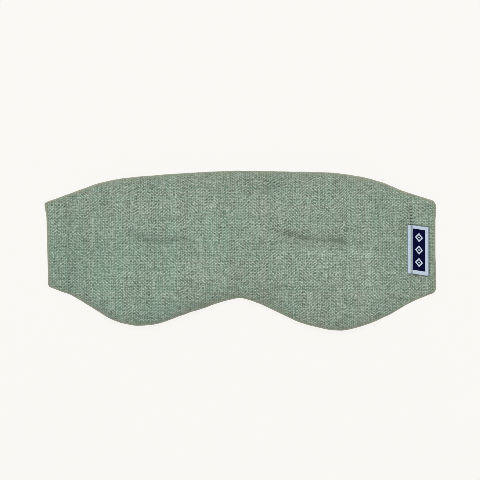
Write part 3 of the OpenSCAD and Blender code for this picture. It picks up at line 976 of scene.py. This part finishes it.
def calico():
    """Fine cream plain weave with brown flecks."""
    tex = Shader("bag_calico")
    x, y, _ = tex.attribute("weave")
    yarns_per_mm = 1.9
    warp, weft = x * yarns_per_mm, y * yarns_per_mm
    warp_id, weft_id = tex.calc("FLOOR", warp), tex.calc("FLOOR", weft)
    in_warp, in_weft = warp - warp_id - 0.5, weft - weft_id - 0.5
    over = tex.calc("FLOORED_MODULO", warp_id + weft_id, 2.0)
    across = tex.lerp(in_warp, in_weft, over)
    height = 1.0 - across * across * 3.4
    fleck = tex.step(tex.noise((x * 0.9, y * 0.9, 3.0), detail=3.0, rough=0.7), 0.66, 0.74)
    cloud = tex.noise((x * 0.06, y * 0.06, 2.0), detail=3.0)
    # painted shade in the gaps between yarns, lighter on their crowns, mixed with a cloud of tone
    color = tex.color((0.50, 0.43, 0.31), (0.80, 0.74, 0.61), height * 0.5 + cloud * 0.5)
    color = tex.color(color, (0.26, 0.18, 0.09), fleck * 0.6)
    tex.bump(height, distance=0.0001, strength=0.6)
    return tex.set(Base_Color=color, Roughness=0.92, Specular_IOR_Level=0.2, Sheen_Weight=0.15)


def thread(name, dark, light):
    """Twisted thread; its weave attribute is run in mm, share of a turn, and a seed."""
    tex = Shader(name)
    run, turn, seed = tex.attribute("weave")
    ply = tex.calc("SINE", run * 9.0 + turn * 6.2832)
    uneven = tex.noise((run * 0.8, seed, 1.0))
    # the plies painted lighter on their crests and darker in the grooves between them, with uneven
    # tone
    color = tex.color(dark, light, (ply + 1.0) * 0.3 + uneven * 0.4)
    tex.bump(ply, distance=0.00005, strength=0.7)
    return tex.set(Base_Color=color, Roughness=0.72, Specular_IOR_Level=0.3, Sheen_Weight=0.2)


def seeds():
    """Brown glossy seeds, each its own shade."""
    tex = Shader("seed_fill")
    x, y, seed = tex.attribute("weave")
    own = tex.white((seed, 0.0, 0.0))
    vein = tex.noise((x * 1.5, y * 5.0, seed), detail=3.0)
    color = tex.color((0.075, 0.028, 0.010), (0.26, 0.115, 0.040), own * 0.75 + vein * 0.25)
    tex.bump(vein, distance=0.00006, strength=0.4)
    return tex.set(Base_Color=color, Roughness=0.30 + vein * 0.25, Specular_IOR_Level=0.45)


def label_tape():
    """Pale blue woven tape with a navy woven panel that holds three plain lozenges."""
    tex = Shader("label_tape")
    x, y, side = tex.attribute("weave")           # mm from the stitched edge and from the middle
    rib = tex.calc("SINE", x * (2 * math.pi / 0.42))
    pick = tex.calc("SINE", y * (2 * math.pi / 0.30))
    fine = tex.white((tex.calc("FLOOR", x * 2.4), tex.calc("FLOOR", y * 3.3), 2.0))
    slow = tex.noise((x * 0.25, y * 0.9, 5.0))
    # the ribs painted lighter on their crests, over the tape's uneven tone
    shade = (rib + 1.0) * 0.10 + fine * 0.35 + slow * 0.45
    pale = tex.color((0.40, 0.485, 0.60), (0.60, 0.68, 0.80), shade)
    navy = tex.color((0.0008, 0.0012, 0.016), (0.003, 0.005, 0.044), shade)
    # the navy panel's middle and half sizes, mm
    center_x, center_y, half_x, half_y = 6.76, 0.15, 3.66, 12.3
    off_x, off_y = abs(x - center_x), abs(y - center_y)
    inside = ((1.0 - tex.step(off_x, half_x - 0.08, half_x + 0.08))
              * (1.0 - tex.step(off_y, half_y - 0.08, half_y + 0.08)))
    # lozenges a pitch apart: an outline and a core
    pitch = 7.4
    cycle = abs(tex.calc("FRACT", (y - center_y) / pitch + 0.5) - 0.5)
    spread = off_x / 2.35 + cycle * pitch / 2.75
    keep = 1.0 - tex.step(off_y, 10.9, 11.0)
    outline = ((1.0 - tex.step(spread, 0.95, 1.05)) - (1.0 - tex.step(spread, 0.52, 0.62))) * keep
    core = (1.0 - tex.step(spread, 0.20, 0.28)) * keep
    figure = tex.calc("MAXIMUM", outline, core)
    face = inside * (1.0 - figure) * tex.step(side, 0.5, 0.6)
    color = tex.color(pale, navy, face)
    # painted shade in the stitched groove, and the turned strip outside it
    groove = 1.0 - tex.step(abs(x - 2.40), 0.1, 0.85)
    color = tex.color(color, (0.16, 0.23, 0.34), groove * 0.42)
    strip = (1.0 - tex.step(x, 1.5, 1.9)) * 0.10
    color = tex.color(color, (0.66, 0.74, 0.80), strip)
    # painted shade along its cut edges
    rim = tex.calc("MINIMUM", tex.calc("MINIMUM", x, 12.4 - x), 14.5 - abs(y))
    color = tex.color(color, (0.10, 0.15, 0.22), (1.0 - tex.step(rim, 0.08, 0.34)) * 0.7)
    tex.bump(rib * 0.4 + pick * 0.6 + face * 1.5, distance=0.00005, strength=0.6)
    return tex.set(Base_Color=color, Roughness=tex.lerp(0.5, 0.75, face),
                   Specular_IOR_Level=tex.lerp(0.3, 0.04, face))


# the sage front's edge_tint is a painted highlight along its rim
SAGE = linen("sage_linen", deep=(0.066, 0.093, 0.063), body=(0.226, 0.294, 0.227),
             light=(0.465, 0.565, 0.478), warm=(0.33, 0.30, 0.235), cool=(0.155, 0.325, 0.232),
             edge_tint=(0.52, 0.47, 0.385), edge_wide=(0.255, 0.275, 0.195), contrast=1.04)
TAUPE = linen("taupe_linen", deep=(0.085, 0.07, 0.045), body=(0.26, 0.225, 0.16),
              light=(0.45, 0.40, 0.30), warm=(0.30, 0.22, 0.14), cool=(0.24, 0.24, 0.18),
              edge_tint=(0.17, 0.145, 0.1), edge_wide=(0.24, 0.20, 0.14), contrast=0.9,
              seed=100.0)
CALICO, SEEDS, LABEL = calico(), seeds(), label_tape()
THREAD = thread("sage_thread", dark=(0.22, 0.285, 0.225), light=(0.42, 0.52, 0.43))
RAW_THREAD = thread("raw_thread", dark=(0.42, 0.36, 0.27), light=(0.70, 0.64, 0.52))

# ---------------------------------------------------------------- cover panels

ALLOWANCE_ROWS = np.array([0.75, 2.4, 4.1])             # distances in from the edge
ALLOWANCE_T = 0.45
ALLOWANCE_END = 3.4                                     # where it starts to bunch up at the ends


def allowance(along, seam, top, front):
    """The hem folded back flat inside the brow edge (top) or the lower edge."""
    limit = HALF - ALLOWANCE_END
    bunched = np.sign(along) * (limit + 0.3 * (np.abs(along) - HALF + ALLOWANCE_END))
    held = np.where(np.abs(along) > limit, bunched, along)
    edge_y = (y_top if top else y_bottom)(held[:, 0])
    y = edge_y[:, None] + (-1 if top else 1) * ALLOWANCE_ROWS[None, :]
    x = np.repeat(held + slant(held, np.full((len(held), 1), float(top))), 3, 1)
    way = 1 if front else -1
    z = np.repeat(seam, 3, 1) + way * 0.06
    outer = np.stack([x, y, z + way * ALLOWANCE_T], -1)
    inner = np.stack([x, y, z], -1)
    if top:
        outer, inner = outer[:, ::-1], inner[:, ::-1]
    points, faces = shell(outer, inner, up=front)
    normals = np.zeros_like(points)
    half = len(points) // 2
    normals[:half, 2], normals[half:, 2] = way, -way
    return points, faces, normals


def panel_piece(name, grid, lo, hi, front, material):
    """One length of a panel: the cloth with its thickness, and both edges' allowances."""
    cols = np.nonzero((STATIONS >= lo - 1e-6) & (STATIONS <= hi + 1e-6))[0]
    part = {key: values[cols] for key, values in grid.items()}
    outer, along, inset, edge = (part[key] for key in ("points", "along", "inset", "edge"))
    seam = seam_z(along, inset)
    inner = outer - part["normals"] * LINEN
    inner[..., 1] = np.clip(inner[..., 1], y_bottom(along) + LINEN * 0.9,
                            y_top(along) - LINEN * 0.9)
    inner[..., 0] = np.clip(inner[..., 0], -HALF + LINEN + slant(along, part["frac"]),
                            HALF - LINEN)
    if front:
        inner[..., 2] = np.maximum(inner[..., 2], seam + 0.05)
    else:
        inner[..., 2] = np.minimum(np.maximum(inner[..., 2], 0.3), seam - 0.05)
    points, faces = shell(outer, inner, up=front)
    normals = sheet_normals(part["normals"])

    x, y = outer[..., 0], outer[..., 1]
    if front and hi > CUT:
        label_x = x - (LABEL_X0 + LABEL_X1) / 2 - 0.45
    else:
        label_x = np.full_like(inset, 60.0)             # far from the label
    side_id = np.full_like(inset, 0.0 if front else 40.0)
    attributes = {
        "weave": np.stack([part["weave_x"], part["weave_y"], side_id], -1),
        "trim": np.stack([inset, (y - HOLE0) / PITCH, edge], -1),
        "fold": part["tones"],
        "bite": np.stack([hole_mark(along, y), label_x, y - label_drift(x)], -1),
    }
    attributes = {key: np.tile(val.reshape(-1, 3), (2, 1)) for key, val in attributes.items()}
    for top in (False, True):
        hem, hem_faces, hem_normals = allowance(along[:, :1], seam[:, :1], top, front)
        faces = np.vstack([faces, hem_faces + len(points)])
        points, normals = np.vstack([points, hem]), np.vstack([normals, hem_normals])
        hem_values = {
            "weave": np.stack([hem[:, 0], hem[:, 1], np.full(len(hem), 7.0)], -1),
            "trim": np.tile(np.array([[9.0, 0.0, 9.0]]), (len(hem), 1)),
            "fold": np.zeros_like(hem),
            "bite": np.zeros_like(hem),
        }
        attributes = {key: np.vstack([val, hem_values[key]]) for key, val in attributes.items()}
    return make(name, points, faces, attributes, material, normals)


def panels(face, grid, material):
    for side, sign in SIDES:
        for joint, suffix, span in (("wing", "", (0.0, CUT)), ("end", "_end", (CUT, HALF))):
            lo, hi = sorted(sign * bound for bound in span)
            piece = panel_piece(f"cover_{face}_{side}{suffix}", grid, lo, hi,
                                face == "front", material)
            cad_parts = [f"{face}_panel_{side}{suffix}"]
            if joint == "wing":
                cad_parts.append(f"{face}_panel_bridge")
            fit(piece, joint, side, f"{face}_linen", *cad_parts)


panels("front", FRONT, SAGE)
panels("back", BACK, TAUPE)

# ---------------------------------------------------------------- threads


def tubes(name, paths, radius, sides, material):
    """Round threads along the given (n, 3) paths, closed at both ends."""
    points, faces, weave = [], [], []
    base = 0
    for number, path in enumerate(paths):
        path = np.asarray(path, float)
        count = len(path)
        tangent = np.gradient(path, axis=0)
        tangent /= np.maximum(np.linalg.norm(tangent, axis=1, keepdims=True), 1e-9)
        upright = abs(tangent[:, 2]).mean() >= 0.8
        side = np.cross(tangent, np.array([1.0, 0.0, 0.0] if upright else [0.0, 0.0, 1.0]))
        side /= np.maximum(np.linalg.norm(side, axis=1, keepdims=True), 1e-9)
        up = np.cross(side, tangent)
        steps = np.linalg.norm(np.diff(path, axis=0), axis=1)
        run = np.concatenate([[0], np.cumsum(steps)])
        radii = np.full(count, radius)
        radii[0] = radii[-1] = radius * 0.55
        for j in range(count):
            for i in range(sides):
                angle = 2 * math.pi * i / sides
                offset = math.cos(angle) * side[j] + math.sin(angle) * up[j]
                points.append(path[j] + radii[j] * offset)
                weave.append((run[j] + number * 0.37, i / sides, number * 0.11))
        for j in range(count - 1):
            for i in range(sides):
                a, b = base + j * sides + i, base + j * sides + (i + 1) % sides
                faces.append((a, b, b + sides, a + sides))
        faces.append(tuple(base + i for i in reversed(range(sides))))
        faces.append(tuple(base + (count - 1) * sides + i for i in range(sides)))
        base += count * sides
    return make(name, np.array(points), faces, {"weave": np.array(weave)}, material)


def surface_at(grid, along, y):
    """Heights of a cover grid at the given places along the length and heights y."""
    points = grid["points"]
    out = []
    for place_x, place_y in zip(along, y):
        i = int(np.argmin(np.abs(STATIONS - place_x)))
        i = min(max(i, 1), len(STATIONS) - 2)
        j = i + 1 if place_x >= STATIONS[i] else i - 1
        t = abs(place_x - STATIONS[i]) / abs(STATIONS[j] - STATIONS[i])
        z_i = np.interp(place_y, points[i, :, 1], points[i, :, 2])
        z_j = np.interp(place_y, points[j, :, 1], points[j, :, 2])
        out.append(z_i * (1 - t) + z_j * t)
    return np.array(out)


def topstitch(side):
    """Stitches from hole to hole through both panels, and through the label on the right."""
    sign = SIGN[side]
    at = np.array([0.0, 0.10, 0.26, 0.5, 0.74, 0.90, 1.0])      # places along one stitch
    lift = np.array([-0.60, -0.30, 0.03, 0.11, 0.03, -0.30, -0.60])
    lo = float(y_bottom(sign * STITCH[side])) + 2.6
    hi = float(y_top(sign * STITCH[side])) - 2.6
    low_y, top_y = float(y_bottom(sign * 104.0)), float(y_top(sign * 104.0))
    paths = []
    for i in range(math.ceil((lo - HOLE0) / PITCH), math.floor((hi - HOLE0) / PITCH)):
        y = HOLE0 + (i + at) * PITCH
        frac = (y - low_y) / (top_y - low_y)
        along = stitch_along(np.full(len(y), sign * 100.0), frac)
        x = along + slant(along, frac)
        on_label = (sign > 0) & (np.abs(y - 1.0) < LABEL_Y + 0.2)
        for grid, up in ((FRONT, 1), (BACK, -1)):
            z = surface_at(grid, along, y)[3] + up * lift
            if up > 0:
                z = np.where(on_label, LABEL_Z + LABEL_T - 0.02 + lift * 0.55, z)
            paths.append(np.stack([x, y, z], -1))
    piece = tubes(f"topstitch_thread_{side}", paths, 0.20, 6, THREAD)
    fit(piece, "end", side, "sewing_thread", f"topstitch_{side}")


def edge_seam(name, lo, hi, across_end=False):
    """The hidden lockstitch that joins the allowances 1.5 mm inside the edge."""
    length, inside = 2.4, 1.5
    at = np.array([0.04, 0.16, 0.5, 0.84, 0.96])                # places along one stitch
    lift = np.array([0.0, 0.5, 0.56, 0.5, 0.0])
    paths = []
    for top in (False, True):
        count = int((hi - lo) / length)
        for i in range(count):
            along = lo + (hi - lo) * (i + at) / count
            frac = np.full(5, float(top))
            y = y_top(along) - inside if top else y_bottom(along) + inside
            z = seam_z(along, inboard(along, frac)) + lift * (1 if i % 2 else -1)
            paths.append(np.stack([along + slant(along, frac), y, z], -1))
    if across_end:
        x = HALF - 1.7
        start, end = float(y_bottom(x)) + inside, float(y_top(x)) - inside
        count = int((end - start) / length)
        for i in range(count):
            y = start + (end - start) * (i + at) / count
            z = SEAM_END + lift * (1 if i % 2 else -1)
            paths.append(np.stack([np.full(5, x), y, z], -1))
    return tubes(name, paths, 0.17, 5, THREAD)


for side, _ in SIDES:
    topstitch(side)
for side, sign in SIDES:
    name = f"edge_seam_thread_{side}"
    piece = edge_seam(name, *sorted((sign * 0.0, sign * CUT)))
    fit(piece, "wing", side, "sewing_thread", f"edge_seam_{side}", "edge_seam_bridge")
    piece = edge_seam(f"{name}_end", *sorted((sign * CUT, sign * (HALF - 2.2))),
                      across_end=side == "right")
    fit(piece, "end", side, "sewing_thread", f"edge_seam_{side}_end")

# ---------------------------------------------------------------- bag and seeds


def bag_grids(side, inset, below, above):
    """Front and back surfaces inside the cover, pinched shut at the outer end.

    They are inset in plan, lie `below` the front cover and `above` the back one.
    """
    close_over = 6.0
    last = FOLD[side] - 5.4
    cols = np.concatenate([np.linspace(0, last - close_over, 46),
                           last - close_over * (1 - np.linspace(0.12, 1, 8))]) * SIGN[side]
    cols = np.unique(np.round(cols, 4))
    along, rows = np.meshgrid(cols, share(46, 0.45), indexing="ij")
    low_y, top_y = y_bottom(along), y_top(along)
    y = mix(low_y + inset, top_y - inset, rows)
    frac = (y - low_y) / (top_y - low_y)
    x = along + slant(along, frac)
    seam = seam_z(along, inboard(along, frac))
    close = (np.sqrt(np.clip((last - np.abs(along)) / close_over, 0, 1))
             * (1 - np.clip(np.abs(2 * rows - 1), 0, 1) ** 10) ** 0.5)
    top = np.array([surface_at(FRONT, *line) for line in zip(along, y)])
    low = np.array([surface_at(BACK, *line) for line in zip(along, y)])
    top = seam + 0.03 + np.maximum(top - below - seam, 0.15) * close
    low = seam - 0.03 - np.maximum(seam - low - above, 0.1) * close
    return np.stack([x, y, top], -1), np.stack([x, y, low], -1)


def bag(side):
    front, back = bag_grids(side, inset=5.0, below=1.15, above=0.95)
    cloth = np.minimum(0.32, np.maximum(front[..., 2] - back[..., 2], 0.05) * 0.3)
    front_in, back_in = front.copy(), back.copy()
    front_in[..., 2] = front[..., 2] - cloth
    back_in[..., 2] = back[..., 2] + cloth
    front_points, front_faces = shell(front, front_in, up=True)
    back_points, back_faces = shell(back, back_in, up=False)
    points = np.vstack([front_points, back_points])
    normals = np.vstack([sheet_normals(grid_normals(front)),
                         sheet_normals(grid_normals(back, -1.0))])
    weave = np.stack([points[:, 0], points[:, 1], np.zeros(len(points))], -1)
    piece = make(f"seed_bag_{side}", points,
                 np.vstack([front_faces, back_faces + len(front_points)]),
                 {"weave": weave}, CALICO, normals)
    fit(piece, "wing", side, "bag_cotton", f"bag_front_{side}", f"bag_back_{side}",
        "bag_front_bridge", "bag_back_bridge")
    overlock(side, front, back)


def overlock(side, front, back):
    """A looped thread along the bag's lower and brow edges."""
    paths = []
    for edge, way in ((0, 1), (-1, -1)):
        line = front[:, edge] * 0.5 + back[:, edge] * 0.5
        start, end = line[:, 0].min(), line[:, 0].max()
        loops = int((end - start) / 1.6)
        phase = np.linspace(0, loops * 2 * math.pi, loops * 6)
        x = np.linspace(start, end, len(phase))
        line = line[np.argsort(line[:, 0])]
        y = np.interp(x, line[:, 0], line[:, 1]) + way * (0.1 + 0.45 * np.cos(phase))
        z = np.interp(x, line[:, 0], line[:, 2]) + 0.32 * np.sin(phase)
        paths.append(np.stack([x, y, z], -1))
    piece = tubes(f"bag_overlock_{side}", paths, 0.13, 5, RAW_THREAD)
    fit(piece, "wing", side, "sewing_thread", f"bag_seam_{side}", "bag_seam_bridge")


def seed_shape():
    """One seed: a flat drop with two pointed tips and three rings of six between them."""
    points = [(-2.1, 0, 0)]
    for x, radius in ((-1.2, 0.72), (0.2, 1.0), (1.3, 0.62)):
        for i in range(6):
            angle = 2 * math.pi * i / 6
            points.append((x, radius * 1.1 * math.cos(angle), radius * 0.5 * math.sin(angle)))
    points.append((2.15, 0, 0))
    faces = [(0, 1 + (i + 1) % 6, 1 + i) for i in range(6)]
    for ring in range(2):
        for i in range(6):
            a, b = 1 + ring * 6 + i, 1 + ring * 6 + (i + 1) % 6
            faces.append((a, b, b + 6, a + 6))
    faces += [(13 + i, 13 + (i + 1) % 6, 19) for i in range(6)]
    return np.array(points), faces


def fill(side):
    """A bed of seeds: a core, and a layer of whole seeds over it."""
    front, back = bag_grids(side, inset=6.2, below=2.6, above=1.9)
    core, core_faces = shell(front, back, up=True)
    front_normals, back_normals = grid_normals(front), grid_normals(back, -1.0)
    rng = np.random.default_rng(31 if side == "left" else 32)
    points, faces = [core], core_faces.tolist()
    weave = [np.stack([core[:, 0], core[:, 1], np.full(len(core), 0.5)], -1)]
    base = len(core)
    unit, unit_faces = seed_shape()
    cols, rows = front.shape[:2]
    first, last = (10, cols - 3) if side == "left" else (1, cols - 12)
    for number in range(1500):
        on_front = rng.random() < 0.62
        grid, normals = (front, front_normals) if on_front else (back, back_normals)
        i, j = rng.integers(first, last), rng.integers(3, rows - 4)
        part_i, part_j = rng.random(), rng.random()
        center = (grid[i, j] * (1 - part_i) * (1 - part_j)
                  + grid[i + 1, j] * part_i * (1 - part_j)
                  + grid[i, j + 1] * (1 - part_i) * part_j
                  + grid[i + 1, j + 1] * part_i * part_j)
        normal = normals[i, j]
        if abs(normal[2]) < 0.35:
            continue
        angle = rng.uniform(0, 2 * math.pi)
        length_dir = np.cross(normal, [math.sin(angle), math.cos(angle), 0.1])
        length_dir /= np.linalg.norm(length_dir)
        width_dir = np.cross(normal, length_dir)
        tilt = rng.uniform(-0.25, 0.25)
        tilted_up = normal * math.cos(tilt) + length_dir * math.sin(tilt)
        tilted_length = length_dir * math.cos(tilt) - normal * math.sin(tilt)
        size = rng.uniform(0.85, 1.1)
        points.append(center + normal * 0.12 + size * (
            unit[:, :1] * tilted_length + unit[:, 1:2] * width_dir + unit[:, 2:3] * tilted_up))
        faces += [[base + corner for corner in face] for face in unit_faces]
        seed_id = np.full(len(unit), number * 0.731 + 1.0)
        weave.append(np.stack([unit[:, 0], unit[:, 1], seed_id], -1))
        base += len(unit)
    piece = make(f"seed_bed_{side}", np.vstack(points), faces, {"weave": np.vstack(weave)}, SEEDS)
    fit(piece, "wing", side, "seed_fill", f"seed_fill_{side}", "seed_fill_bridge")


for side, _ in SIDES:
    bag(side)
    fill(side)

# ---------------------------------------------------------------- label


def label_part(name, cols, flap):
    """One part of the tape, over the given columns in x."""
    x, y = np.meshgrid(cols, np.linspace(-LABEL_Y, LABEL_Y, 61), indexing="ij")
    from_stitch = x - LABEL_X0
    groove = 0 if flap else -0.16 * bell(from_stitch - 2.25, 0.42)
    z = LABEL_Z + LABEL_T + groove - 0.04
    z = z + 0.03 * np.sin(y * 1.1 + 0.6) * ease(from_stitch / 4)
    if flap:
        lift = ease((from_stitch - 4.0) / 8.5)
        z = z + 0.20 * lift + 0.10 * lift * np.cos(y / LABEL_Y * 2.2 + 0.5)
    round_y = np.sqrt(1 - (1 - np.clip((LABEL_Y - np.abs(y)) / 0.22, 0, 1)) ** 2)
    ends = np.minimum(from_stitch, LABEL_X1 - x)
    round_x = np.sqrt(1 - (1 - np.clip(ends / 0.25, 0, 1)) ** 2)
    half = (LABEL_T - 0.06) / 2 * np.minimum(0.35 + 0.65 * round_y, 0.25 + 0.75 * round_x)
    middle = z - (LABEL_T - 0.06) / 2
    lie_y = y * 1.012 + label_drift(x) - 0.16
    lie_x = x + 0.3 + 0.3 * from_stitch / (LABEL_X1 - LABEL_X0)
    points, faces = shell(np.stack([lie_x, lie_y, middle + half], -1),
                          np.stack([lie_x, lie_y, middle - half], -1), up=True)
    weave = np.stack([np.tile(from_stitch.ravel(), 2), np.tile(y.ravel(), 2),
                      np.repeat([1.0, 0.0], x.size)], -1)
    return make(name, points, faces, {"weave": weave}, LABEL)


def label():
    """The base is stitched to the flange, and the flap lifts about a line beside the stitches."""
    rim = np.array([0.0, 0.05, 0.12, 0.25])
    base = label_part("label_tape_base", np.concatenate([
        LABEL_X0 + rim, np.linspace(LABEL_X0 + 0.45, LABEL_HINGE - 0.02, 14)]), flap=False)
    fit(base, "end", "right", "label_tape", "label_base")
    flap = label_part("label_tape_flap", np.concatenate([
        np.linspace(LABEL_HINGE + 0.02, LABEL_X1 - 0.45, 34), LABEL_X1 - rim[::-1]]), flap=True)
    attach(flap, "label_flap")
    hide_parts("label_flap")


label()

# ---------------------------------------------------------------- stage, metres


def floor():
    """A pale light table: most of its white is its own."""
    mesh = bpy.data.meshes.new("floor")
    mesh.from_pydata([(-4, -4, 0), (4, -4, 0), (4, 4, 0), (-4, 4, 0)], [], [(0, 1, 2, 3)])
    ob = bpy.data.objects.new("floor", mesh)
    ob.location.z = -0.00005
    scene.collection.objects.link(ob)
    tex = Shader("floor_paper")
    grain = tex.noise(tex.node("TexCoord").outputs["Object"], scale=40.0, detail=3.0)
    mesh.materials.append(tex.set(
        Base_Color=tex.color((0.070, 0.0696, 0.0675), (0.073, 0.0725, 0.0705), grain),
        Roughness=1.0, Specular_IOR_Level=0.0,
        Emission_Color=(0.956, 0.948, 0.914, 1), Emission_Strength=0.918))


def studio_world():
    """One colour for the camera to see, and another that lights the pillow."""
    world = bpy.data.worlds.new("studio")
    scene.world = world
    world.use_nodes = True
    nodes, links = world.node_tree.nodes, world.node_tree.links
    nodes.clear()
    out = nodes.new("ShaderNodeOutputWorld")
    seen, light = nodes.new("ShaderNodeBackground"), nodes.new("ShaderNodeBackground")
    seen.inputs["Color"].default_value = (0.955, 0.947, 0.914, 1)
    light.inputs["Color"].default_value = (1.0, 0.995, 0.985, 1)
    light.inputs["Strength"].default_value = 0.50
    path, mixer = nodes.new("ShaderNodeLightPath"), nodes.new("ShaderNodeMixShader")
    links.new(path.outputs["Is Camera Ray"], mixer.inputs[0])
    links.new(light.outputs[0], mixer.inputs[1])
    links.new(seen.outputs[0], mixer.inputs[2])
    links.new(mixer.outputs[0], out.inputs[0])


def disk_light(name, location, size, power):
    """A round area light aimed at the origin."""
    light = bpy.data.lights.new(name, "AREA")
    light.shape, light.size, light.energy = "DISK", size, power
    ob = bpy.data.objects.new(name, light)
    ob.location = location
    ob.rotation_mode = "QUATERNION"
    aim = Vector((0, 0, 0)) - Vector(location)
    ob.rotation_quaternion = aim.to_track_quat("-Z", "Y")
    ob.visible_camera = False
    scene.collection.objects.link(ob)


def camera():
    """Straight down on the pillow through a long lens."""
    view_width = 0.288                                 # across the frame, at the seam's height
    cam = bpy.data.cameras.new("camera")
    cam.sensor_width = 36.0
    cam.lens = 250.0
    cam.clip_start, cam.clip_end = 0.05, 50
    ob = bpy.data.objects.new("camera", cam)
    ob.location = (0.00008, 0.00645, view_width / (36.0 / cam.lens) + 0.006)
    scene.collection.objects.link(ob)
    scene.camera = ob


floor()
studio_world()
disk_light("key", location=(-0.05, 0.42, 1.44), size=0.40, power=11.5)
disk_light("fill", location=(0.45, 0.0, 1.5), size=1.0, power=1.4)
scene.view_settings.view_transform = "Standard"
scene.view_settings.look = "None"
scene.cycles.filter_width = 0.6
camera()
